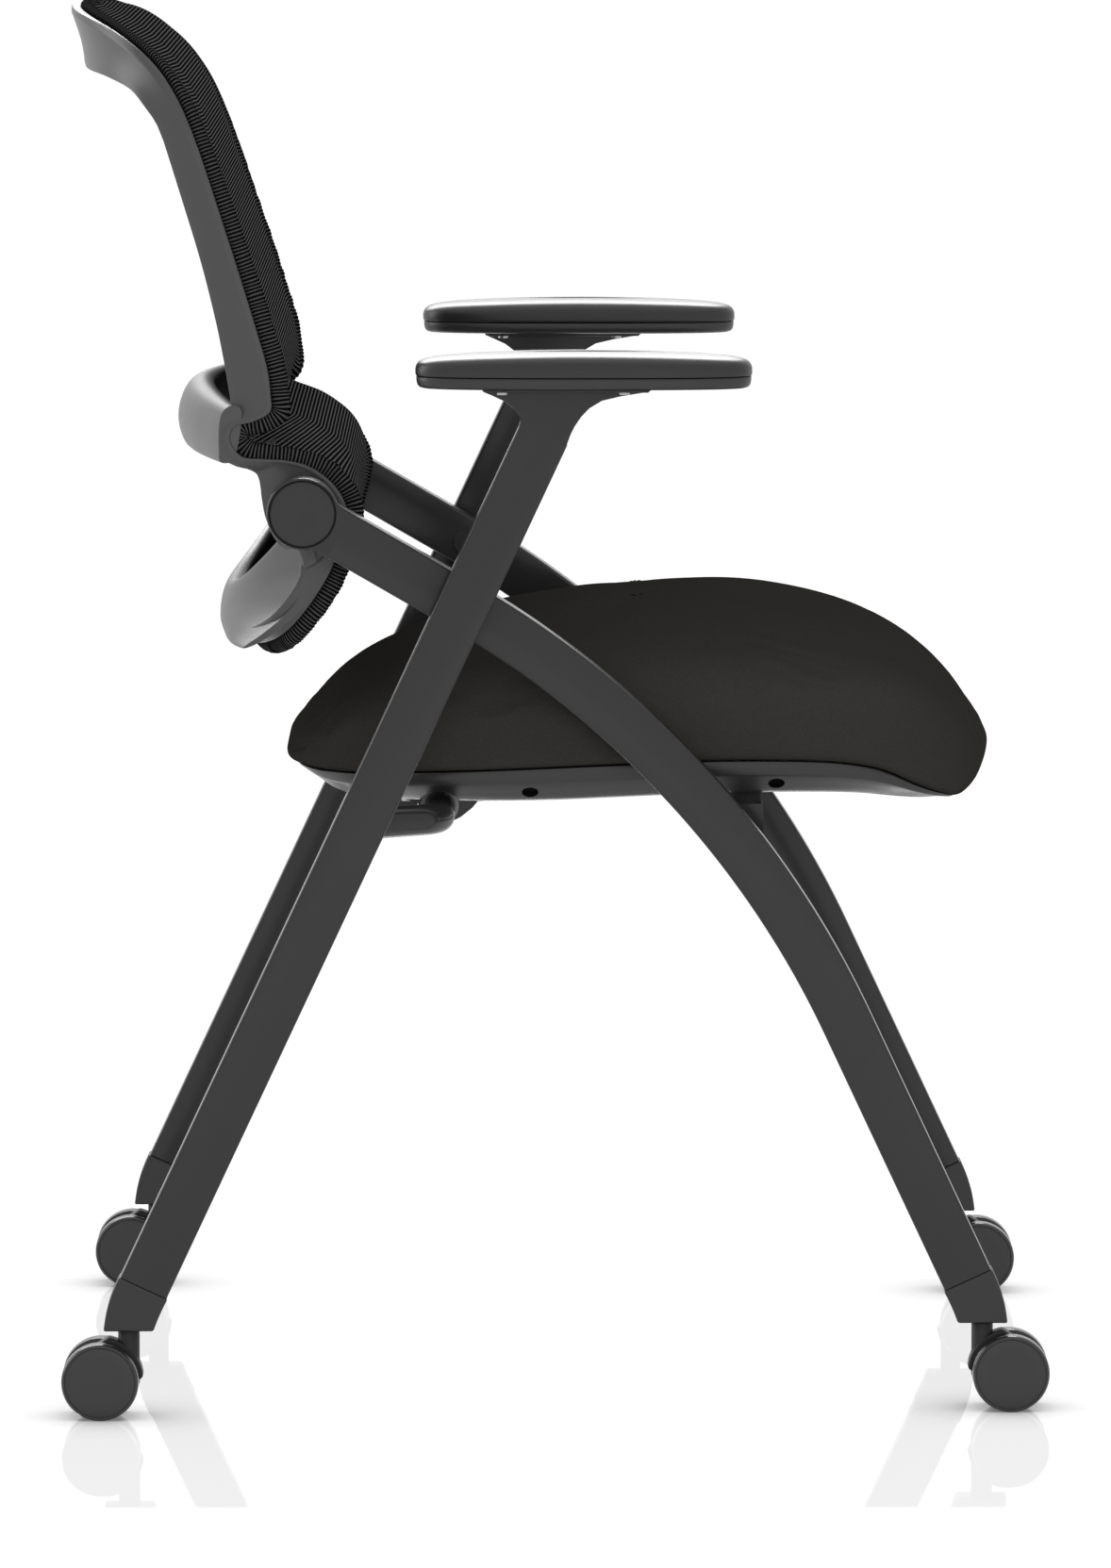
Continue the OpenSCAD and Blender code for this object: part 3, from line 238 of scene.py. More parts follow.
def rib_mesh(name, open_share, light, bump, wander, sharp):
    """Knitted mesh: ribs across the width and rows of small holes, laid out in metres by the UV map. Its colour is
    painted light: painted shade in the rib valleys and a painted highlight, up to light, on the ridges.
    """
    material, tree, bsdf = shader(name)
    place = add_node(tree, "ShaderNodeUVMap", uv_map="weave").outputs["UV"]
    parts = add_node(tree, "ShaderNodeSeparateXYZ", {0: place})
    across, along = parts.outputs[0], parts.outputs[1]
    shift = maths(tree, "MULTIPLY", cloud(tree, place, 60.0), wander)
    ribs = maths(tree, "SINE", maths(tree, "ADD", maths(tree, "MULTIPLY", along, 2 * math.pi / RIB_PITCH), shift))
    cols = maths(tree, "SINE", maths(tree, "MULTIPLY", across, 2 * math.pi / (RIB_PITCH * 0.7)))
    height = maths(tree, "MULTIPLY_ADD", ribs, 0.5, 0.5)
    knit = maths(tree, "MULTIPLY_ADD", cols, 0.15, height)
    stray = maths(tree, "MULTIPLY_ADD", cloud(tree, place, 900.0), 0.9, 0.55)
    # Painted light: colour goes from painted shade in the rib valleys to a painted highlight on the ridges, with
    # random strays
    yarn = maths(tree, "MULTIPLY", maths(tree, "POWER", height, sharp), stray)
    set_inputs(tree, bsdf, {"Base Color": colour_mix(tree, yarn, grey(RIB_VALLEY_SHADE), grey(light)), "Roughness": 0.8,
                            "Normal": relief(tree, knit, bump, 0.0006), "Specular IOR Level": 0.0})
    if open_share:
        valley = maths(tree, "LESS_THAN", height, 2 * open_share)
        hole = maths(tree, "MULTIPLY", valley, maths(tree, "GREATER_THAN", cols, -0.1))
        set_inputs(tree, bsdf, {"Alpha": maths(tree, "SUBTRACT", 1.0, hole)})
    return material


PAINT = moulded("satin_paint", 0.0175, 0.44, spec=0.10, grain=2200, coat=0.50)
FERRULE = moulded("ferrule_plastic", 0.020, 0.48, grain=2600, bump=0.05)
CAP = moulded("hub_cap_plastic", 0.015, 0.45, grain=2600, bump=0.06)
BACK = moulded("back_plastic", 0.035, 0.40, spec=0.58, grain=1800, bump=0.02)
PAN = moulded("pan_plastic", 0.019, 0.33, spec=0.42, grain=2000, bump=0.05)
PAD = moulded("arm_pad_skin", 0.013, 0.38, spec=0.42, grain=1600, bump=0.05)
PAD_BASE = moulded("arm_base_plastic", 0.020, 0.42, spec=0.42, grain=2200, bump=0.05)
WHEEL = moulded("wheel_nylon", 0.022, 0.40, spec=0.42, grain=1800, bump=0.05, smears=0.08)
TREAD = moulded("wheel_tread", 0.016, 0.22, spec=0.5, grain=900, bump=0.02, smears=0.06)
HOOD = moulded("hood_plastic", 0.014, 0.45, spec=0.25, grain=2000)
GROOVE_SHADE = moulded("groove_shadow", 0.003, 0.7, spec=0.1)
RUBBER = moulded("black_rubber", 0.010, 0.8, spec=0.25, grain=1200, bump=0.12)
BUSH = moulded("acetal_bush", 0.25, 0.45)
BOARD = moulded("plywood", 0.3, 0.8, spec=0.2, grain=300, warmth=0.35)
STEEL = metal("zinc_steel", 0.42, 0.35)
BOLT = metal("black_bolt", 0.05, 0.35)
SEAT_CLOTH = seat_weave("seat_cloth")
# light is the painted highlight on the rib ridges
MESH_CLOTH = rib_mesh("mesh_cloth", 0.005, light=0.14, bump=1.0, wander=0.5, sharp=2.2)
ROLL_CLOTH = rib_mesh("roll_cloth", 0.0, light=0.075, bump=0.8, wander=5.0, sharp=2.4)


# Pieces
def add_object(name, data):
    holder = bpy.data.objects.new(name, data)
    bpy.context.scene.collection.objects.link(holder)
    return holder


def mesh_piece(name, points, faces, body, slot, material, replaces=(), angle=35, uvs=None):
    mesh = bpy.data.meshes.new(name)
    mesh.from_pydata([tuple(c * MM for c in p) for p in points], [], faces)
    mesh.validate()
    mesh.materials.append(material)
    if uvs:
        layer = mesh.uv_layers.new(name="weave")
        for loop in mesh.loops:
            layer.data[loop.index].uv = tuple(c * MM for c in uvs[loop.vertex_index])
    piece = add_object(name, mesh)
    square_up(piece)
    shade(piece, angle)
    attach(piece, body)
    if replaces:
        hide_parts(*replaces)
    return piece


def square_up(piece):
    """Turns every face outward."""
    work = bmesh.new()
    work.from_mesh(piece.data)
    bmesh.ops.remove_doubles(work, verts=work.verts, dist=1e-6)
    bmesh.ops.recalc_face_normals(work, faces=work.faces)
    work.to_mesh(piece.data)
    work.free()


def shade(piece, angle):
    piece.data.polygons.foreach_set("use_smooth", [True] * len(piece.data.polygons))
    piece.data.set_sharp_from_angle(angle=math.radians(angle))
    piece.data.update()


def apply(piece):
    """Puts the modifiers' result into the mesh."""
    graph = bpy.context.evaluated_depsgraph_get()
    old = piece.data
    piece.data = bpy.data.meshes.new_from_object(piece.evaluated_get(graph))
    piece.modifiers.clear()
    bpy.data.meshes.remove(old)


def rounded_edges(piece, width, segments=3):
    bevel = piece.modifiers.new("edges", "BEVEL")
    bevel.width = width * MM
    bevel.segments = segments
    bevel.limit_method = "ANGLE"
    bevel.angle_limit = math.radians(30)
    bevel.use_clamp_overlap = True
    weights = piece.modifiers.new("weights", "WEIGHTED_NORMAL")
    weights.weight = 60
    apply(piece)
    piece.data.polygons.foreach_set("use_smooth", [True] * len(piece.data.polygons))


def loft(rings, close_path=False, caps=True):
    """Points and faces of a skin over rings that have equally many points."""
    n, m = len(rings[0]), len(rings)
    points = [p for ring in rings for p in ring]
    faces = [(i * n + j, i * n + (j + 1) % n, ((i + 1) % m) * n + (j + 1) % n, ((i + 1) % m) * n + j)
             for i in range(m if close_path else m - 1) for j in range(n)]
    if caps and not close_path:
        faces += [tuple(range(n))[::-1], tuple((m - 1) * n + j for j in range(n))]
    return points, faces


def plate(name, outline, y0, y1, body, slot, material, replaces=(), edge=1.0, segments=3):
    """Flat outline in the side plane, given a thickness across the chair."""
    n = len(outline)
    points = [(x, y0, z) for x, z in outline] + [(x, y1, z) for x, z in outline]
    faces = [tuple(range(n)), tuple(range(2 * n - 1, n - 1, -1))]
    faces += [(i, n + i, n + (i + 1) % n, (i + 1) % n) for i in range(n)]
    piece = mesh_piece(name, points, faces, body, slot, material, replaces)
    rounded_edges(piece, edge, segments)
    return piece


def lathe(name, profile, centre, body, slot, material, replaces=(), turns=96, angle=35, axis="Y"):
    """Closed profile of (radius, place along the axis), turned about the Y or Z axis through centre."""
    x, y, z = centre
    rings = []
    for k in range(turns):
        c, s = math.cos(2 * math.pi * k / turns), math.sin(2 * math.pi * k / turns)
        if axis == "Y":
            rings.append([(x + r * c, y + place, z + r * s) for r, place in profile])
        else:
            rings.append([(x + r * c, y + r * s, z + place) for r, place in profile])
    points, faces = loft(rings, close_path=True)
    return mesh_piece(name, points, faces, body, slot, material, replaces, angle)


def round_corners(half_a, half_b, radius):
    """Closed section with rounded corners."""
    ring, steps = [], 6
    for sa, sb, start in ((1, 1, 0), (-1, 1, 90), (-1, -1, 180), (1, -1, 270)):
        ring += arc(sa * (half_a - radius), sb * (half_b - radius), radius, start, start + 90, steps)
    return ring


def tube(name, path, y, section, replaces):
    """Frame tube: its section carried along a path in the side plane."""
    rings = []
    for i, p in enumerate(path):
        before, after = path[max(i - 1, 0)], path[min(i + 1, len(path) - 1)]
        t = unit((after[0] - before[0], after[1] - before[1]))
        rings.append([(p[0] + a * t[1], y + b, p[1] - a * t[0]) for a, b in section])
    points, faces = loft(rings)
    mesh_piece(name, points, faces, "frame", "frame_paint", PAINT, replaces, angle=50)


# Legs
def leg_point(run, sx):
    """Point on a leg's lower line, run along it from the ferrule's underside."""
    return (sx * (FOOT_X - run * math.sin(LEG_LEAN)), FERRULE_Z + run * math.cos(LEG_LEAN))


def front_leg_path():
    low = (-math.sin(LEG_LEAN), math.cos(LEG_LEAN))
    up = (-math.sin(UPPER_TILT), math.cos(UPPER_TILT))
    gap = (HUB[0] - FOOT_X, HUB[1] - FERRULE_Z)
    run = (gap[0] * up[1] - gap[1] * up[0]) / (low[0] * up[1] - low[1] * up[0])
    corner = leg_point(run, 1)
    turn = UPPER_TILT - LEG_LEAN
    tangent = BEND_R * math.tan(turn / 2)
    start = moved(corner, low, -tangent)
    centre = (start[0] - BEND_R * math.cos(LEG_LEAN), start[1] - BEND_R * math.sin(LEG_LEAN))
    bend = arc(centre[0], centre[1], BEND_R, math.degrees(LEG_LEAN), math.degrees(UPPER_TILT), 40)
    first = leg_point(FERRULE_L + FERRULE_GAP, 1)
    last = moved(HUB, up, -NECK_L)
    lower = [lerp2(first, bend[0], k / 6) for k in range(6)]
    upper = [lerp2(bend[-1], last, k / 4) for k in range(1, 5)]
    return lower + bend + upper


def legs():
    section = round_corners(TUBE_D / 2, TUBE_T / 2, TUBE_CORNER)
    post_run = (POST_TOP_Z - FERRULE_Z) / math.cos(LEG_LEAN)
    rear = [lerp2(leg_point(FERRULE_L + FERRULE_GAP, -1), leg_point(post_run, -1), k / 8) for k in range(9)]
    front = front_leg_path()
    for side, s in SIDES:
        tube(f"rear_tube_{side}", rear, s * REAR_Y, section, [f"rear_leg_{side}"])
        tube(f"front_tube_{side}", front, s * FRONT_Y, section, [f"front_leg_{side}"])


def foot_place(foot):
    """Signs along x and y, and the place across the chair."""
    sx = 1 if "front" in foot else -1
    sy = 1 if "left" in foot else -1
    return sx, sy, sy * (FRONT_Y if sx > 0 else REAR_Y)


def ferrules():
    """Shoes on the legs' ends: a little proud of the tube, the outer edge bowed."""
    proud, side_proud, outer_bow, inner_bow = 0.7, 0.5, 1.9, 0.5
    half = (TUBE_D / 2 + proud) * math.cos(LEG_LEAN), (TUBE_D / 2 + proud) * math.sin(LEG_LEAN)
    thick = TUBE_T / 2 + side_proud
    for foot in FEET:
        sx, _, y = foot_place(foot)
        top = leg_point(FERRULE_L, sx)
        top_out = (top[0] + sx * half[0], top[1] + half[1])
        top_in = (top[0] - sx * half[0], top[1] - half[1])
        low_out = (sx * (STEM_X + FERRULE_W / 2), FERRULE_Z)
        low_in = (sx * (STEM_X - FERRULE_W / 2), FERRULE_Z)
        outline = [low_in, *bowed(low_out, top_out, sx * outer_bow, 9), top_out,
                   *bowed(top_in, low_in, sx * inner_bow, 6)]
        plate(f"ferrule_shoe_{foot}", outline, y - thick, y + thick, "frame", "ferrule_plastic", FERRULE,
              [f"ferrule_{foot}"], edge=1.3)


def bowed(p, q, bow, steps):
    """Points from p to short of q, on a line that bows along x."""
    line = [lerp2(p, q, k / steps) for k in range(steps)]
    return [(x + bow * math.sin(math.pi * k / steps), z) for k, (x, z) in enumerate(line)]


# Casters
def casters():
    stem = [(0, 22), (7, 22), (7, 55.9), (6.6, 56.7), (5.4, 56.7), (5.4, 77), (0, 77)]
    for foot in FEET:
        sx, sy, y = foot_place(foot)
        axle = (sx * (STEM_X + TRAIL), y, WHEEL_R)
        body = f"caster_{foot}"
        lathe(f"stem_{foot}", stem, (sx * STEM_X, y, 0), body, "zinc_steel", HOOD, [f"caster_stem_{foot}"],
              turns=48, axis="Z")
        hood(foot, sx, axle, body)
        for part, which in ((-sy, "inner"), (sy, "outer")):
            wheel(f"{which}_{foot}", part, axle, f"{which}_wheel_{foot}", [f"wheel_{which}_{foot}"])


def hood(foot, sx, axle, body):
    """Fork between the wheels: a web about the axle with a shoulder that takes the stem."""
    half = WHEEL_GAP / 2 - 0.4
    web_r, shoulder = 20.5, WHEEL_R + 2.6
    outline = arc(0, 0, web_r, 196, 422, 28) + arc(0, 0, shoulder, 100, 176, 18)
    points = [(axle[0] + sx * x, z + axle[2]) for x, z in outline]
    plate(f"fork_{foot}", points, axle[1] - half, axle[1] + half, body, "hood_plastic", HOOD,
          [f"caster_hood_{foot}"], edge=1.2)


def wheel(name, part, axle, body, replaces):
    r, w = WHEEL_R, WHEEL_W
    face = [(3.05, 0.2), (8, 0.2), (8, 8.5), (20, 8.5), (20, 0.5), (23.6, 0.3), (24.7, 0.8)]
    face += [(r - 0.02, 2.2), (r, w / 2), (r - 0.02, w - 2.4)]
    face += [(r - 0.3, w - 1.2), (r - 1.0, w - 0.35), (r - 1.9, w - 0.05), (r - 2.2, w - 0.25)]
    face += [(r - 2.25, w - 1.1), (r - 2.65, w - 1.1), (r - 2.7, w - 0.25), (r - 3.1, w - 0.05)]
    face += [(16, w - 0.02), (8, w), (0.001, w), (0.001, w - 2.4), (3.05, w - 2.4)]
    profile = [(radius, part * (WHEEL_GAP / 2 + place)) for radius, place in face]
    piece = lathe(name, profile, axle, body, "wheel_nylon", WHEEL, replaces, turns=112, angle=28)
    piece.data.materials.append(TREAD)
    for polygon in piece.data.polygons:
        reach = math.hypot(polygon.center.x - axle[0] * MM, polygon.center.z - axle[2] * MM)
        sideways = abs(polygon.normal.y)
        if reach > (r - 1.3) * MM and sideways < 0.75:
            polygon.material_index = 1


# Hubs and cross bars
def hubs():
    neck_dir = (math.sin(UPPER_TILT), -math.cos(UPPER_TILT))
    side_dir = (-neck_dir[1], neck_dir[0])
    r = HUB_D / 2
    half, thick = TUBE_D / 2 - SHELL_INSET, TUBE_T / 2 - SHELL_INSET
    joint = moved(HUB, neck_dir, NECK_L + SHELL_LAP)
    ends = moved(joint, side_dir, half), moved(joint, side_dir, -half)
    heading = math.degrees(math.atan2(neck_dir[1], neck_dir[0]))
    swing = 47
    outline = arc(HUB[0], HUB[1], r, heading + swing, heading + 360 - swing, 60)
    low_root, high_root = outline[-1], outline[0]
    outline += [lerp2(low_root, ends[1], k / 4) for k in range(1, 5)]
    outline += [lerp2(ends[0], high_root, k / 4) for k in range(4)]
    cap_r = CAP_D / 2
    ring = [(cap_r + 0.9, 0.02), (cap_r - 0.1, 0.02), (cap_r - 0.1, -1.2), (cap_r + 0.9, -1.2)]
    rim = cap_r - 0.25
    cap = [(0.001, -3), (rim, -3), (rim, -0.2), (rim - 0.4, 0.5), (rim - 1.2, 0.8), (10, 0.95), (0.001, 1.0)]
    for side, s in SIDES:
        plate(f"hub_shell_{side}", outline, s * FRONT_Y - thick, s * FRONT_Y + thick, "frame", "frame_paint", PAINT,
              [f"hub_housing_{side}"], edge=1.9, segments=4)
        face = (HUB[0], s * (FRONT_Y + TUBE_T / 2), HUB[1])
        # The groove ring is a near-black fill: painted shade in the gap round the cover
        for name, profile, material in (("groove", ring, GROOVE_SHADE), ("cover", cap, CAP)):
            lathe(f"hub_{name}_{side}", [(radius, s * place) for radius, place in profile], face, "frame",
                  "ferrule_plastic", material)
    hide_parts("hub_caps")


def cross_bars():
    """Rear bar, bent forward and inward from the legs to run under the seat."""
    leg_x = -FOOT_X + (HINGE[1] - FERRULE_Z) * math.tan(LEG_LEAN)
    corner_y, bend, rear_in = 240.0, 30.0, REAR_Y - TUBE_T / 2
    turn = math.atan2(HINGE[0] - leg_x, rear_in - corner_y)
    tangent = bend * math.tan(turn / 2)
    middle = (HINGE[0] - bend, corner_y - tangent)
    half = [(HINGE[0], 0), (HINGE[0], 120)] + arc(*middle, bend, 0, math.degrees(turn), 10)
    half.append((leg_x - 3, rear_in + 2))
    line = [(x, -y) for x, y in half[:0:-1]] + half
    section = arc(0, 0, HINGE_BAR_D / 2, 0, 360, 32)[:-1]
    rings = []
    for i, p in enumerate(line):
        before, after = line[max(i - 1, 0)], line[min(i + 1, len(line) - 1)]
        t = unit((after[0] - before[0], after[1] - before[1]))
        rings.append([(p[0] + a * t[1], p[1] - a * t[0], HINGE[1] + b) for a, b in section])
    points, faces = loft(rings)
    mesh_piece("rear_bar", points, faces, "frame", "frame_paint", PAINT, ["seat_hinge_bar"])


# Arms
def superellipse(a, power):
    c, s = math.cos(a), math.sin(a)
    return (math.copysign(abs(c) ** (2 / power), c), math.copysign(abs(s) ** (2 / power), s))


PAD_MID, PAD_L, PAD_W, PAD_POWER = 17.4, 216.0, 74.0, 3.0
# Rings of an arm pad, and of the shell under it, as (inset, height, drop at the ends)
PAD_RINGS = [(3, 675.2, 0), (0.5, 675.2, 0), (0.15, 675.6, 0), (0, 677, 0.2), (0, 680, 0.6), (0.5, 682.6, 1.2),
             (1.6, 685, 1.9), (3.4, 686.9, 2.5), (6.2, 688.3, 3.0), (10, 689.3, 3.3), (16, 689.9, 3.4),
             (24, 690.2, 3.2), (31, 690.3, 3.0)]
SHELL_RINGS = [(9, 667.1, 0), (4.5, 667.2, 0), (2.4, 667.9, 0), (1.2, 669.4, 0), (0.7, 671.6, 0), (0.6, 674.2, 0),
               (1.1, 674.7, 0), (3, 674.7, 0)]


def pad_skin(rows, s, count=96):
    rings = []
    for inset, z, drop in rows:
        ring = []
        for k in range(count):
            u, v = superellipse(2 * math.pi * k / count, PAD_POWER)
            x = (PAD_L / 2 - inset) * u
            ring.append((PAD_MID + x, s * REAR_Y + (PAD_W / 2 - inset) * v, z - drop * (x / (PAD_L / 2)) ** 2))
        rings.append(ring)
    return loft(rings)


def arms():
    for side, s in SIDES:
        pad = mesh_piece(f"arm_cushion_{side}", *pad_skin(PAD_RINGS, s), "frame", "arm_rubber", PAD,
                         [f"arm_pad_{side}"], angle=60)
        mesh_piece(f"arm_shell_{side}", *pad_skin(SHELL_RINGS, s), "frame", "pan_plastic", PAD_BASE, angle=60)
        bracket(side, s)
    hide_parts("arm_bases")


def bracket(side, s):
    """Arm bracket: the post's end flares into a flange under the pad."""
    cos, sin = math.cos(LEG_LEAN), math.sin(LEG_LEAN)
    top = leg_point((POST_TOP_Z - FERRULE_Z) / cos - SHELL_LAP, -1)
    half, thick = TUBE_D / 2 - SHELL_INSET, TUBE_T / 2 - SHELL_INSET
    rear_foot, front_foot = moved(top, (-cos, sin), half), moved(top, (-cos, sin), -half)
    front = [(9.0, 637.5), (11.6, 642.6), (15.6, 648.6), (21.0, 654.2), (29.0, 659.0), (41.0, 661.8), (52.0, 663.6),
             (60.2, 665.0), (60.4, 667.2)]
    rear = [(-47.8, 667.2), (-47.6, 664.9), (-41.5, 662.4), (-33.6, 658.7), (-27.4, 654.0), (-24.2, 649.0),
            (-23.4, 645.6)]
    plate(f"bracket_{side}", [rear_foot, front_foot] + front + rear, s * REAR_Y - thick, s * REAR_Y + thick,
          "frame", "frame_paint", PAINT, [f"arm_bracket_{side}"], edge=1.4)
    flange = [(x, s * REAR_Y + y) for x, y in ((-46, -22), (59, -22), (59, 22), (-46, 22))]
    points = [(x, y, z) for z in (664.9, 667.1) for x, y in flange]
    faces = [(0, 1, 2, 3), (7, 6, 5, 4)] + [(i, (i + 1) % 4, 4 + (i + 1) % 4, 4 + i) for i in range(4)]
    piece = mesh_piece(f"flange_{side}", points, faces, "frame", "frame_paint", PAINT)
    rounded_edges(piece, 0.8)


legs()
ferrules()
casters()
hubs()
cross_bars()
arms()


# Seat: outlines along its length
PAN_LOW_Z, SEAT_TOP_Z = 393.0, 514.0
PAN_INSET = 5.0
# How square the seat's plan is, and how much faster the cushion's ends draw in than its sides
SEAT_POWER, END_REACH = 4.2, 1.35
# Cushion over the pan
LIFT = 0.5
SEAT_L, SEAT_MID, SEAT_H = SEAT_FRONT - SEAT_REAR, (SEAT_FRONT + SEAT_REAR) / 2, SEAT_TOP_Z - PAN_LOW_Z
# Pan's underside as (x, z); the others as (share of the length, share of the height)
PAN_LOW = [(-179, 410), (-166, 405.5), (-157, 399.5), (-146, 395.0), (-132, 392.7), (-108, 392.2), (-40, 392.2),
           (6, 393.2), (55, 395.4), (110, 397.6), (153, 397.9), (180, 397.3), (199, 396.0), (219, 393.0),
           (240, 389.6), (250, 388.7), (260, 389.0), (275, 393)]
PAN_TOP = [(0, 0.133), (0.10, 0.137), (0.18, 0.154), (0.30, 0.172), (0.48, 0.204), (0.60, 0.222), (0.712, 0.2215),
           (0.777, 0.208), (0.825, 0.177), (0.853, 0.140), (0.880, 0.087), (0.906, 0.040), (0.925, 0.010),
           (0.940, -0.012), (0.955, -0.006), (0.975, 0.05), (0.989, 0.135), (1, 0.22)]
CROWN = [(0, 0.28), (0.02, 0.35), (0.06, 0.45), (0.11, 0.56), (0.16, 0.655), (0.23, 0.765), (0.32, 0.862),
         (0.42, 0.945), (0.50, 0.985), (0.59, 1), (0.68, 0.98), (0.77, 0.91), (0.84, 0.82), (0.90, 0.69),
         (0.95, 0.52), (0.98, 0.385), (1, 0.30)]
# Cushion's skin as (inset as a share of the width, share of the height at the sides, and at the ends)
CUSHION_RINGS = [(0.020, 0, 0), (0.0105, 0.004, 0.006), (0.004, 0.025, 0.04), (0.001, 0.07, 0.12), (0, 0.20, 0.40),
                 (0.001, 0.38, 0.70), (0.010, 0.56, 0.86), (0.032, 0.69, 0.93), (0.072, 0.775, 0.96),
                 (0.13, 0.84, 0.98), (0.20, 0.90, 0.99), (0.28, 0.95, 1), (0.35, 0.985, 1), (0.42, 0.997, 1),
                 (0.47, 1, 1)]
# Sewn shoulder: its level among the cushion's rings, and its depth inward and downward as shares
SEAM_LEVEL, SEAM_IN, SEAM_DOWN = 72, 0.0016, 0.008


# Pan's skin as (inset from the edge, share of the height)
PAN_RINGS = [(70, 0.55), (9, 0.80), (3.2, 0.975), (1.2, 0.99), (0.35, 0.975), (0, 0.92), (0.2, 0.78), (0.8, 0.60),
             (1.2, 0.56), (2.0, 0.52), (6, 0.36), (10, 0.21), (13.4, 0.08), (15.6, 0.02), (18, 0), (70, 0)]
PAN_LEAST, PAN_FLOOR = 3.0, 13.0
BAR_RECESS_R, PAN_HOLE_R, PAN_HOLES_X, PAN_HOLE_WAY = 15.5, 5.4, (-17, 143), (9.48, -7.32)


def seat_line(rows, x):
    return PAN_LOW_Z + SEAT_H * table(min(max((x - SEAT_REAR) / SEAT_L, 0), 1), rows)


def pan_low(x):
    return table(x, PAN_LOW)


def seat_plan(angle, inset, reach=1.0, front=SEAT_FRONT):
    u, v = superellipse(angle, SEAT_POWER)
    return ((front + SEAT_REAR) / 2 + ((front - SEAT_REAR) / 2 - inset * reach) * u, (SEAT_HALF_W - inset) * v)


def capped(rings, top, bottom):
    """Skin over rings, closed by a fan to a middle point at each end."""
    n = len(rings[0])
    points, faces = loft(rings, caps=False)
    points += [bottom, top]
    last = len(points) - n - 2
    for j in range(n):
        faces.append((len(points) - 2, (j + 1) % n, j))
        faces.append((len(points) - 1, last + j, last + (j + 1) % n))
    return points, faces


def cushion():
    """Foam block in its cover: crowned, pulled in at the corners, with a sewn shoulder, swollen by simulation."""
    count, levels = 240, 120
    width = 2 * SEAT_HALF_W
    rings, height = [], []
    for inset in (120, 60, 24):
        ring = [seat_plan(2 * math.pi * k / count, inset, END_REACH) for k in range(count)]
        rings.append([(x, y, seat_line(PAN_TOP, x) + LIFT) for x, y in ring])
        height += [0.0] * count
    for i in range(levels + 1):
        inset, side, end = spline(CUSHION_RINGS, i / levels)
        ring = []
        seam = math.exp(-((i - SEAM_LEVEL) / 0.9) ** 2)
        for k in range(count):
            angle = 2 * math.pi * k / count
            x, y = seat_plan(angle, (inset + SEAM_IN * seam) * width, END_REACH)
            rise = lerp(side, end, smooth_step(abs(math.cos(angle)))) - SEAM_DOWN * seam
            ring.append((x, y, lerp(seat_line(PAN_TOP, x) + LIFT, seat_line(CROWN, x), max(rise, 0))))
            height.append(max(side, 0.0))
        rings.append(ring)
    height += [0.0, 1.0]
    points, faces = capped(rings, (SEAT_MID, 0, seat_line(CROWN, SEAT_MID)),
                           (SEAT_MID, 0, seat_line(PAN_TOP, SEAT_MID) + LIFT))
    piece = mesh_piece("seat_upholstery", points, faces, "seat", "seat_cloth", SEAT_CLOTH, ["seat_cushion"],
                       angle=70)
    swell(piece, height)


def swell(piece, height):
    """Cover drawn in a little, then blown out by the foam in a short cloth simulation; no point moves far."""
    draw, reach, frames = 1.6 * MM, 4.5 * MM, 20
    mesh = piece.data
    start = [v.co - v.normal * (draw * smooth_step(height[v.index] / 0.3)) for v in mesh.vertices]
    for v, place in zip(mesh.vertices, start):
        v.co = place
    held = piece.vertex_groups.new(name="held")
    for v in mesh.vertices:
        held.add([v.index], 1.0 - smooth_step((height[v.index] - 0.02) / 0.2), "REPLACE")
    cloth = piece.modifiers.new("cover", "CLOTH")
    cloth.settings.vertex_group_mass = "held"
    cloth.settings.use_pressure = True
    cloth.settings.uniform_pressure_force = 4.0
    cloth.settings.effector_weights.gravity = 0.0
    cloth.settings.quality = 4
    cloth.settings.tension_stiffness = 30.0
    cloth.settings.compression_stiffness = 30.0
    cloth.point_cache.frame_start, cloth.point_cache.frame_end = 1, frames
    for number in range(1, frames + 1):
        bpy.context.scene.frame_set(number)
    apply(piece)
    for v, place in zip(piece.data.vertices, start):
        move = v.co - place
        if move.length > reach:
            move *= reach / move.length
        v.co = place + move
    bpy.context.scene.frame_set(1)
    shade(piece, 70)


def pan():
    """Moulded tray: an upright side, a hollowed bevel below it and a flat underside."""
    count = 240
    rings = []
    for inset, share in PAN_RINGS:
        ring = []
        for k in range(count):
            x, y = seat_plan(2 * math.pi * k / count, PAN_INSET + inset, front=PAN_FRONT)
            ring.append((x, y, lerp(pan_low(x), max(seat_line(PAN_TOP, x), pan_low(x) + PAN_LEAST), share)))
        rings.append(ring)
    mid = (PAN_FRONT + SEAT_REAR) / 2
    points, faces = capped(rings, (mid, 0, pan_low(mid)), (mid, 0, pan_low(mid) + PAN_FLOOR))
    piece = mesh_piece("pan_shell", points, faces, "seat", "pan_plastic", PAN, ["seat_pan"], angle=28)
    reach = SEAT_HALF_W + 4
    cutters = [tube_between((HINGE[0], -reach, HINGE[1]), (HINGE[0], reach, HINGE[1]), BAR_RECESS_R, PAN)]
    for s in (-1, 1):
        for x in PAN_HOLES_X:
            y, z = s * (SEAT_HALF_W - PAN_INSET - 8.2), lerp(pan_low(x), seat_line(PAN_TOP, x), 0.28)
            out, down = s * PAN_HOLE_WAY[0], PAN_HOLE_WAY[1]
            # The holes' walls take the near-black groove material: painted shade inside the holes
            cutters.append(tube_between((x, y + out, z + down), (x, y - out / 2, z - down / 2), PAN_HOLE_R, GROOVE_SHADE))
    carve(piece, cutters)
    shade(piece, 28)


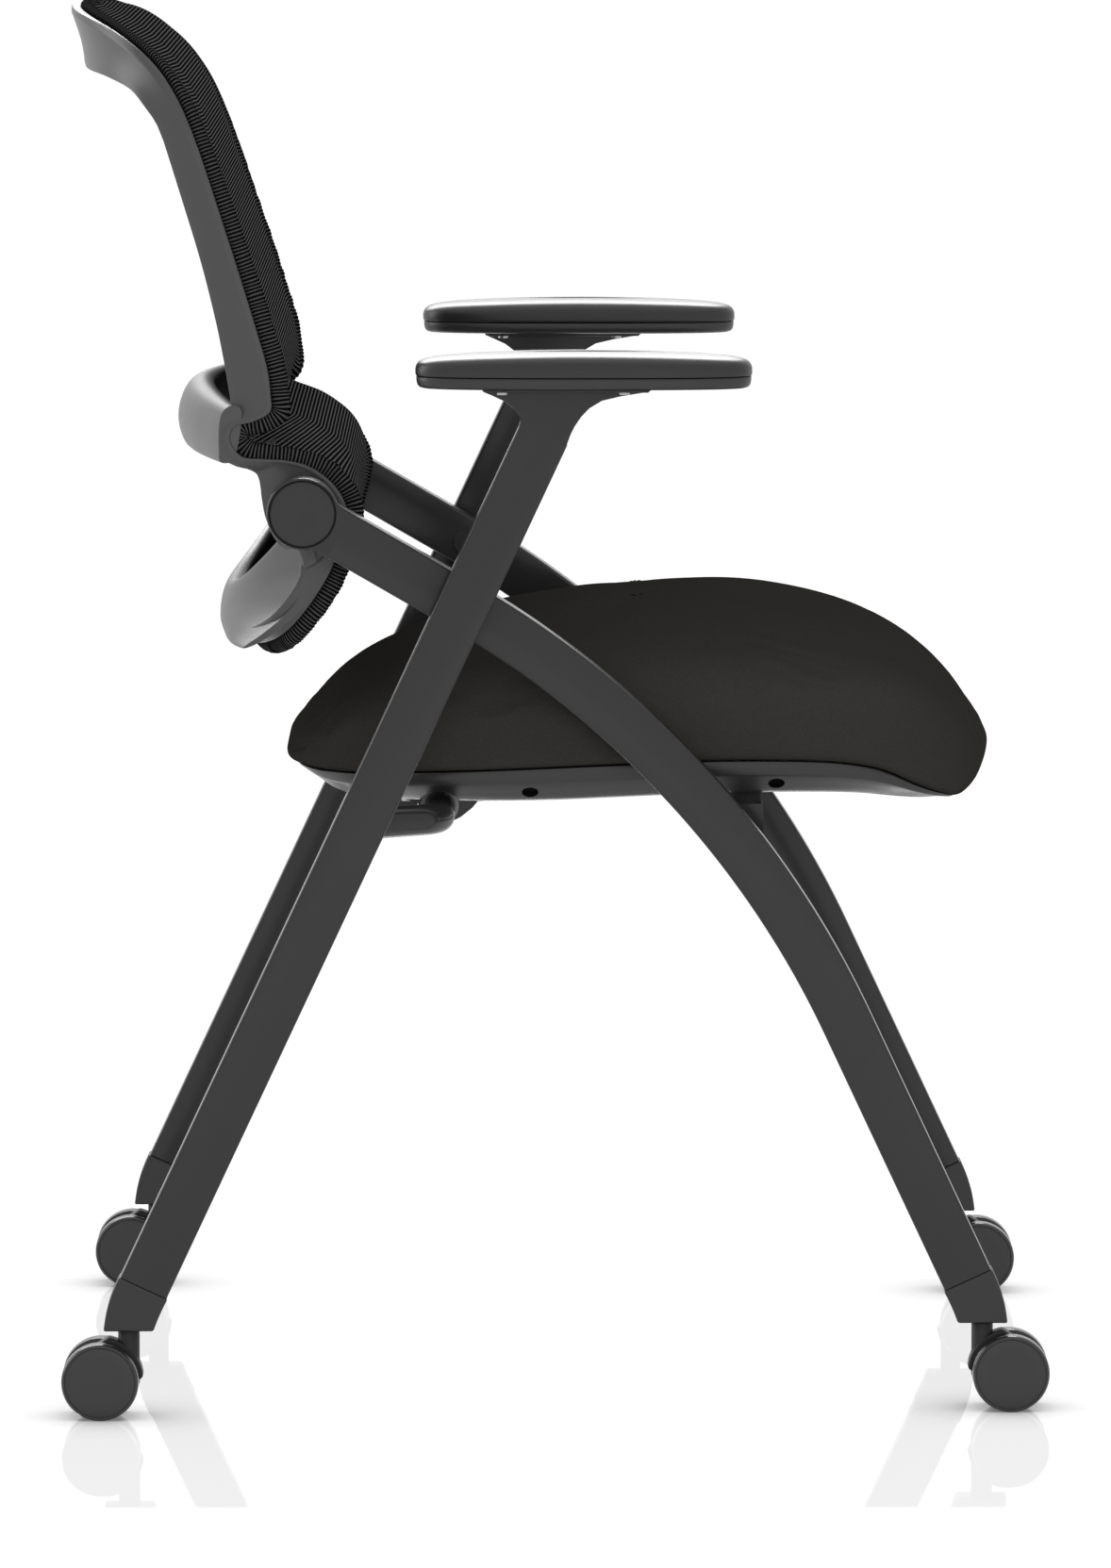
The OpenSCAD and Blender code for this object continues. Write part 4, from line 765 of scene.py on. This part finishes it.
def tube_between(p, q, r, material, sides=40):
    """Round cutter."""
    work = bmesh.new()
    a, b = Vector(p) * MM, Vector(q) * MM
    bmesh.ops.create_cone(work, cap_ends=True, segments=sides, radius1=r * MM, radius2=r * MM,
                          depth=(b - a).length, matrix=(b - a).to_track_quat("Z", "Y").to_matrix().to_4x4())
    bmesh.ops.translate(work, verts=work.verts, vec=(a + b) / 2)
    mesh = bpy.data.meshes.new("cutter")
    work.to_mesh(mesh)
    work.free()
    mesh.materials.append(material)
    return mesh


def carve(piece, cutters):
    holders = []
    for mesh in cutters:
        holder = add_object("cutter", mesh)
        cut = piece.modifiers.new("cut", "BOOLEAN")
        cut.operation = "DIFFERENCE"
        cut.solver = "EXACT"
        cut.material_mode = "TRANSFER"
        cut.object = holder
        holders.append(holder)
    bpy.context.view_layer.update()
    apply(piece)
    for holder in holders:
        bpy.data.objects.remove(holder)
    for mesh in cutters:
        bpy.data.meshes.remove(mesh)


# Back: stations from the lower edge up to the upper lip, as shares of its depth and height
LUMBAR_X, BACK_D, BACK_LOW_Z, BACK_H = -128.0, 186.0, 491.0, 414.0
RIM_FRONT = [(0.420, -0.002), (0.330, 0.008), (0.245, 0.034), (0.160, 0.080), (0.102, 0.123), (0.070, 0.159),
             (0.048, 0.196), (0.043, 0.229), (0.086, 0.263), (0.161, 0.289), (0.242, 0.300), (0.328, 0.303),
             (0.398, 0.306), (0.435, 0.321), (0.446, 0.338), (0.427, 0.354), (0.360, 0.362), (0.306, 0.377),
             (0.304, 0.403), (0.317, 0.447), (0.358, 0.512), (0.417, 0.599), (0.489, 0.700), (0.559, 0.795),
             (0.629, 0.867), (0.720, 0.923), (0.858, 0.968), (1.030, 1.002)]
RIM_REAR = [(0.472, 0.010), (0.376, 0.032), (0.292, 0.062), (0.222, 0.104), (0.210, 0.140), (0.285, 0.170),
            (0.323, 0.205), (0.338, 0.237), (0.342, 0.256), (0.347, 0.269), (0.358, 0.279), (0.385, 0.286),
            (0.432, 0.292), (0.481, 0.307), (0.489, 0.336), (0.478, 0.357), (0.457, 0.374), (0.446, 0.389),
            (0.452, 0.413), (0.468, 0.454), (0.497, 0.519), (0.548, 0.611), (0.618, 0.715), (0.688, 0.812),
            (0.753, 0.857), (0.820, 0.889), (0.925, 0.908), (1.030, 0.918)]
MESH_MID = [(0.395, -0.004), (0.300, 0.004), (0.190, 0.032), (0.097, 0.075), (0.048, 0.116), (0.022, 0.159),
            (0.005, 0.203), (0.000, 0.244), (0.016, 0.283), (0.054, 0.312), (0.108, 0.333), (0.161, 0.348),
            (0.204, 0.356), (0.242, 0.362), (0.269, 0.367), (0.285, 0.372), (0.290, 0.379), (0.274, 0.391),
            (0.253, 0.413), (0.263, 0.457), (0.306, 0.514), (0.371, 0.594), (0.446, 0.693), (0.511, 0.787),
            (0.581, 0.867), (0.672, 0.932), (0.818, 0.983), (1.015, 1.004)]
LOW_CORNER, HIGH_CORNER, CORNER_POWER = 0.13, 0.80, 3
FLANGE_W = [(0, 24), (0.11, 22), (0.19, 6), (1, 6)]
ROLL_IN = RIM_T * 0.45
# How wide the roll is across the rim, as a share of its reach ahead of the rim
ROLL_FLAT = [(0, 0.62), (0.76, 0.62), (0.84, 0.92), (0.92, 1.5), (1, 2.2)]
ROLL_RIB = 2.4
# Half width of the gathered roll by station
ROLL_R = [(0, 5.0), (0.05, 5.6), (0.26, 5.4), (0.31, 6.2), (0.37, 5.6), (0.45, 5.8), (0.70, 6.0), (0.84, 5.0),
          (0.92, 3.2), (1, 2.2)]


def back_at(rows, t):
    depth, height = spline(rows, min(max(t, 0), 1))
    return (LUMBAR_X - depth * BACK_D, BACK_LOW_Z + height * BACK_H)


def rim_span(t):
    """Rim's front edge at a station, the way from there to its rear edge, and how far it is."""
    front, rear = back_at(RIM_FRONT, t), back_at(RIM_REAR, t)
    gap = (rear[0] - front[0], rear[1] - front[1])
    return front, unit(gap), math.hypot(*gap)


def corner_entry(angle, start, end):
    """Place on the rim's loop at a rounded corner: y, station share, inward y, inward share."""
    c, s = superellipse(angle, CORNER_POWER)
    c, s = abs(c), abs(s)
    n = unit((c ** (CORNER_POWER - 1) / RIM_HALF_W, s ** (CORNER_POWER - 1) / (abs(end - start) * BACK_H)))
    return (RIM_HALF_W * c, start + (end - start) * s, -n[0], -math.copysign(n[1], end - start))


def rim_loop(corner_steps, side_steps):
    half = [corner_entry(math.pi / 2 * (1 - k / corner_steps), LOW_CORNER, 0) for k in range(corner_steps)]
    half += [(RIM_HALF_W, lerp(LOW_CORNER, HIGH_CORNER, k / side_steps), -1, 0) for k in range(side_steps + 1)]
    half += [corner_entry(math.pi / 2 * k / corner_steps, HIGH_CORNER, 1) for k in range(1, corner_steps + 1)]
    return half + [(-y, t, -iy, it) for y, t, iy, it in half[-2:0:-1]]


def rim_profile(length, t):
    """Rim's section: (distance behind its front edge, depth inward), with a flat flange and a turned-back face."""
    flange = min(table(t, FLANGE_W), lerp(0.95, 0.8, smooth_step((t - 0.10) / 0.05)) * length)
    face = length - flange
    bulge = min(7.5, 0.40 * face)
    lip = 1.4 * smooth_step((t - 0.82) / 0.10)
    turn = table(t, [(0.14, 0), (0.19, 5), (0.26, 5), (0.30, 0)])
    rows = [(0.5, 12.8), (0, 12.2), (0, 1.0), (0.3, 0.3), (1.0, 0), (flange - 1.6, 0), (flange - 0.6, 0.12),
            (flange, 0.3), (flange + 0.6, 0.62)]
    for s in (0.06, 0.14, 0.24, 0.36, 0.5, 0.65, 0.8, 0.92):
        hollow = lip * math.sin(math.pi * s)
        rows.append((flange + 0.6 + (face - 1.0) * s, 0.62 + bulge * (0.45 * s + 0.55 * s * s) + hollow
                     + turn * smooth_step((s - 0.55) / 0.45)))
    deep = 0.62 + bulge + turn
    rows += [(length - 0.1, deep + 0.5), (length, deep + 1.4), (length - 0.3, deep + 2.6), (length - 1.4, deep + 3.4)]
    rows += [(max(length - 8, length * 0.6), max(12.4, deep + 4)), (length * 0.5, max(12.9, deep + 4.5))]
    return rows


def rim_point(entry, behind, inward):
    y, t, iy, it = entry
    t = min(max(t + it * inward / BACK_H, 0), 1)
    front, way, _ = rim_span(t)
    x, z = moved(front, way, behind)
    return (x, y + iy * inward, z)


def back_rim():
    rings = []
    for entry in rim_loop(26, 190):
        length = rim_span(entry[1])[2]
        rings.append([rim_point(entry, d, b) for d, b in rim_profile(length, entry[1])])
    points, faces = loft(rings, close_path=True)
    mesh_piece("rim_moulding", points, faces, "back", "back_plastic", BACK, ["back_rim"], angle=32)


def roll():
    """Gathered edge of the mesh, on the front of the rim's flange."""
    sides, turn = 16, 2 * math.pi
    centres, heads, flats = [], [], []
    for y, t, iy, it in rim_loop(260, 1100):
        t2 = min(max(t + it * ROLL_IN / BACK_H, 0), 1)
        front, behind, _ = rim_span(t2)
        size = table(t2, ROLL_R)
        flats.append(table(t2, ROLL_FLAT))
        x, z = moved(front, behind, -size)
        centres.append((x, y + iy * ROLL_IN, z, size))
        heads.append(Vector((-behind[0], 0, -behind[1])))
    s, rings, uvs = 0.0, [], []
    for i, (x, y, z, size) in enumerate(centres):
        before, after = centres[i - 1], centres[(i + 1) % len(centres)]
        if i:
            s += math.dist((x, y, z), before[:3])
        along = Vector(after[:3]) - Vector(before[:3])
        across = along.cross(heads[i]).normalized()
        ahead = across.cross(along).normalized()
        calm = 1 - 0.9 * smooth_step((flats[i] - ROLL_FLAT[0][1]) / 0.5)
        pucker = 0.05 * math.sin(turn * s / ROLL_RIB + 2 * noise.noise(Vector((s / 9, 2.2, 0))))
        pucker = (pucker + noise.noise(Vector((s / 5.0, 1.7, 0))) * 0.10) * calm
        lean = noise.noise(Vector((s / 7.0, 4.1, 0))) * 0.5 * calm
        way = 1 if ahead.dot(heads[i]) >= 0 else -1
        ring = []
        for k in range(sides):
            w = turn * k / sides
            r = size * (1 + pucker * (0.6 + 0.4 * math.cos(w - lean)))
            w *= way
            ring.append(tuple(Vector((x, y, z)) + ahead * (math.cos(w) * r + lean * 0.5)
                              + across * (math.sin(w) * r * flats[i])))
            uvs.append((k / sides * 24 + lean * 2, s + lean * 1.2 * math.sin(w)))
        rings.append(ring)
    points, faces = loft(rings, close_path=True)
    mesh_piece("mesh_hem", points, faces, "back", "mesh_cloth", ROLL_CLOTH, ["mesh_roll"], angle=70, uvs=uvs)


def mesh_half_width(t, first, last):
    high = max(0, (t - HIGH_CORNER) / (last - HIGH_CORNER))
    low = max(0, (LOW_CORNER - t) / (LOW_CORNER - first))
    full = RIM_HALF_W - ROLL_IN - 2.2
    return full * (1 - min(max(high, low), 0.9995) ** CORNER_POWER) ** (1 / CORNER_POWER)


def mesh_cloth():
    """Ribbed net stretched from roll to roll, one sheet with two faces."""
    rows, cols, thick = 300, 76, 0.8
    first = (ROLL_IN + 1.5) / BACK_H
    last = 1 - first
    run, before = 0.0, None
    layers, uvs = ([], []), []
    for i in range(rows + 1):
        t = lerp(first, last, i / rows)
        middle = back_at(MESH_MID, t)
        if before:
            run += math.hypot(middle[0] - before[0], middle[1] - before[1])
        before = middle
        front, behind, _ = rim_span(t)
        edge = moved(front, behind, -1.6 * table(t, ROLL_R))
        half = mesh_half_width(t, first, last)
        for j in range(cols + 1):
            c = 2 * j / cols - 1
            c = math.copysign(abs(c) ** 0.8, c)
            w = smooth_step((1 - abs(c)) / 0.34)
            x, z = lerp2(edge, middle, w)
            for layer, back in zip(layers, (0, thick)):
                layer.append((x + behind[0] * back, c * half, z + behind[1] * back))
            uvs.append((c * half, run))
    n = cols + 1
    count = len(layers[0])
    points = layers[0] + layers[1]
    faces = []
    for i in range(rows):
        for j in range(cols):
            a = i * n + j
            faces.append((a, a + 1, a + n + 1, a + n))
            faces.append((count + a, count + a + n, count + a + n + 1, count + a + 1))
    border = list(range(n)) + [i * n + cols for i in range(1, rows + 1)]
    border += [rows * n + j for j in range(cols - 1, -1, -1)] + [i * n for i in range(rows - 1, 0, -1)]
    for a, b in zip(border, border[1:] + border[:1]):
        faces.append((a, count + a, count + b, b))
    piece = mesh_piece("mesh_panel", points, faces, "back", "mesh_cloth", MESH_CLOTH, ["back_mesh"], angle=70,
                       uvs=uvs + uvs)


def band(name, rows, half_w, replaces):
    """Band across the back, curved to the rear in plan.

    rows go round its section, each with its (x, z) at the rim, its (x, z) at the chair's middle and the power of
    its curve in plan.
    """
    steps, finer = 110, 5
    around = rows[-1:] + rows + rows[:2]
    rings = []
    for k in range(steps + 1):
        v = math.sin(math.pi * (k / steps - 0.5))
        ring = []
        for j in range(len(rows) * finer):
            i, f = j // finer, j % finer / finer
            root_x, root_z, mid_x, mid_z, power = spline(around[i:i + 4], (1 + f) / 3)
            u = 1 - abs(v) ** power
            ring.append((lerp(root_x, mid_x, u), half_w * v, lerp(root_z, mid_z, u)))
        rings.append(ring)
    points, faces = loft(rings)
    mesh_piece(name, points, faces, "back", "back_plastic", BACK, replaces, angle=60)


EYE_R, EYE_GAP = 14.5, 0.35


def hinge_brackets():
    """Steel plates under the pan, each with an eye round the rear bar and a lobe that runs forward."""
    x, z = HINGE
    outline = arc(x, z, EYE_R, 180, 300, 16) + [(-62.5, 374.5), (-55, 380.5), (-48.5, 388), (-44.5, 396), (-44, 401)]
    outline += [(-119, 401), (-117, 380), (-104, 375.5), (-93, 375.5)]
    for side, s in SIDES:
        piece = plate(f"hinge_plate_{side}", outline, s * 137, s * 143, "seat", "frame_paint", PAINT, edge=0.9)
        carve(piece, [tube_between((x, s * 130, z), (x, s * 150, z), HINGE_BAR_D / 2 + EYE_GAP, PAINT)])
    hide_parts("hinge_brackets")


def bars():
    band("waist_band", [(-217.6, 614.8, -247.0, 614.9, 1.85), (-218.2, 622.0, -250.6, 624.0, 1.85),
                        (-218.4, 631.0, -251.0, 634.0, 1.85), (-218.0, 639.0, -248.6, 643.5, 1.80),
                        (-216.5, 645.5, -244.8, 650.5, 1.75), (-213.5, 649.5, -240.5, 654.6, 1.70),
                        (-210.0, 651.0, -234.5, 656.4, 1.70), (-206.0, 650.6, -229.5, 655.3, 1.70),
                        (-203.5, 648.0, -226.6, 652.0, 1.70), (-203.5, 643.0, -227.2, 645.0, 1.70),
                        (-205.0, 630.0, -233.0, 630.0, 1.75), (-208.0, 618.0, -239.0, 618.0, 1.80),
                        (-212.0, 614.0, -243.0, 614.2, 1.85)], RIM_HALF_W - 1.2, ["waist_bar"])
    band("lower_band", [(-203, 494, -219.0, 489.8, 2.7), (-189, 504, -222.8, 495.8, 2.6),
                        (-175, 516, -223.2, 503.0, 2.45), (-166, 529, -222.2, 510.0, 2.3),
                        (-163, 545, -220.2, 516.0, 2.4), (-168, 561, -217.3, 520.2, 2.5),
                        (-172, 571, -213.3, 522.6, 2.6), (-168, 576, -208.8, 522.8, 2.7),
                        (-162, 574, -205.4, 520.4, 2.7), (-158, 562, -206.6, 514.0, 2.6),
                        (-154, 540, -210.0, 507.0, 2.4), (-160, 524, -212.6, 499.5, 2.3),
                        (-178, 507, -213.4, 492.4, 2.6), (-195, 496, -216.2, 489.2, 2.7)], RIM_HALF_W - 0.5,
         ["lower_bar"])


cushion()
pan()
hinge_brackets()
back_rim()
roll()
mesh_cloth()
bars()


# Finish the carried-over solids
CAD_MATERIALS = {"frame_paint": PAINT, "dark_steel": BOLT, "zinc_steel": STEEL, "rubber_foot": RUBBER,
                 "ferrule_plastic": FERRULE, "hood_plastic": HOOD, "wheel_nylon": WHEEL, "back_plastic": BACK,
                 "pan_plastic": PAN, "mesh_cloth": MESH_CLOTH, "seat_cloth": SEAT_CLOTH, "board_wood": BOARD,
                 "bush_plastic": BUSH, "arm_rubber": PAD}
for part in frame["record"]["subparts"]:
    node = frame["nodes"][part["node"]]
    node.data.materials.clear()
    node.data.materials.append(CAD_MATERIALS[part["material_slot"]])


# Stage, camera and light
def stage():
    size = 40.0
    mesh = bpy.data.meshes.new("floor")
    mesh.from_pydata([(-size, -size, 0), (size, -size, 0), (size, size, 0), (-size, size, 0)], [], [(0, 1, 2, 3)])
    floor = add_object("floor", mesh)
    material, tree, bsdf = shader("studio_floor")
    set_inputs(tree, bsdf, {"Base Color": (0.8, 0.8, 0.8, 1), "Roughness": 0.9, "Specular IOR Level": 0.0})
    # The floor's glow is dimmed by ambient occlusion near the chair's feet and wheels: a painted contact shadow
    near = add_node(tree, "ShaderNodeAmbientOcclusion", {"Distance": 0.075}, samples=12)
    glow_with_painted_shadow = map_range(tree, near.outputs["AO"], 0.16, 0.88, start=0.30, end=0.97)
    glow = add_node(tree, "ShaderNodeEmission", {"Color": (1, 1, 1, 1), "Strength": glow_with_painted_shadow})
    matt = add_node(tree, "ShaderNodeBsdfDiffuse", {"Color": (0.34, 0.34, 0.34, 1)})
    lit = add_node(tree, "ShaderNodeAddShader", {0: matt.outputs[0], 1: glow.outputs[0]})
    gloss = add_node(tree, "ShaderNodeBsdfGlossy", {"Color": (1, 1, 1, 1), "Roughness": 0.02})
    across = add_node(tree, "ShaderNodeSeparateXYZ", {0: object_place(tree)}).outputs[1]
    mirror = map_range(tree, across, 0.0, 0.22, start=-0.64, end=-0.625)
    seen = add_node(tree, "ShaderNodeMixShader", {0: mirror, 1: lit.outputs[0], 2: gloss.outputs[0]})
    path = add_node(tree, "ShaderNodeLightPath").outputs
    direct = maths(tree, "MAXIMUM", path["Is Camera Ray"], path["Is Glossy Ray"])
    which = add_node(tree, "ShaderNodeMixShader", {0: direct, 1: bsdf.outputs[0], 2: seen.outputs[0]})
    set_inputs(tree, tree.nodes["Material Output"], {"Surface": which.outputs[0]})
    mesh.materials.append(material)


def backdrop():
    """White where it is seen, and softer towards the zenith as a light."""
    world = bpy.data.worlds.new("studio")
    bpy.context.scene.world = world
    world.use_nodes = True
    tree = world.node_tree
    path = add_node(tree, "ShaderNodeLightPath").outputs
    shown = maths(tree, "MAXIMUM", path["Is Camera Ray"], path["Is Glossy Ray"])
    shown = maths(tree, "MAXIMUM", shown, path["Is Transmission Ray"])
    way = add_node(tree, "ShaderNodeTexCoord").outputs["Generated"]
    height = add_node(tree, "ShaderNodeSeparateXYZ", {0: way}).outputs[2]
    soft = map_range(tree, height, 1.0, 0.36, start=0.1, end=0.9)
    set_inputs(tree, tree.nodes["Background"], {"Color": (1, 1, 1, 1), "Strength": map_range(tree, shown, soft, 1.0)})


def area_light(name, place, target, size, power, diffuse=True, glossy=True):
    lamp = bpy.data.lights.new(name, "AREA")
    lamp.shape = "RECTANGLE"
    lamp.size, lamp.size_y = size
    lamp.energy = power
    holder = add_object(name, lamp)
    holder.location = place
    holder.rotation_euler = (Vector(target) - Vector(place)).to_track_quat("-Z", "Y").to_euler()
    holder.visible_camera = False
    holder.visible_diffuse = diffuse
    holder.visible_glossy = glossy


def camera():
    data = bpy.data.cameras.new("camera")
    data.sensor_fit = "AUTO"
    data.sensor_width = 36.0
    data.lens = 246.46
    data.clip_end = 200.0
    holder = add_object("camera", data)
    holder.location = (-0.0248, -7.1535, 1.1373)
    holder.rotation_euler = (math.pi / 2 - 0.1053, 0.0, -0.0035)
    bpy.context.scene.camera = holder


stage()
backdrop()
camera()
area_light("overhead", (0.0, 0.0, 3.0), (0, 0, 0.5), (2.4, 2.4), 9)
area_light("front", (0.4, -4.0, 0.9), (0, 0, 0.45), (3.0, 1.6), 60, glossy=False)
area_light("rear_rim", (-0.8, 3.2, 2.9), (0, 0, 0.5), (3.6, 1.4), 185, diffuse=False)
area_light("left_rim", (-3.4, 0.6, 1.6), (-0.2, 0, 0.6), (1.6, 2.4), 36, diffuse=False)
bpy.context.scene.view_settings.view_transform = "Standard"
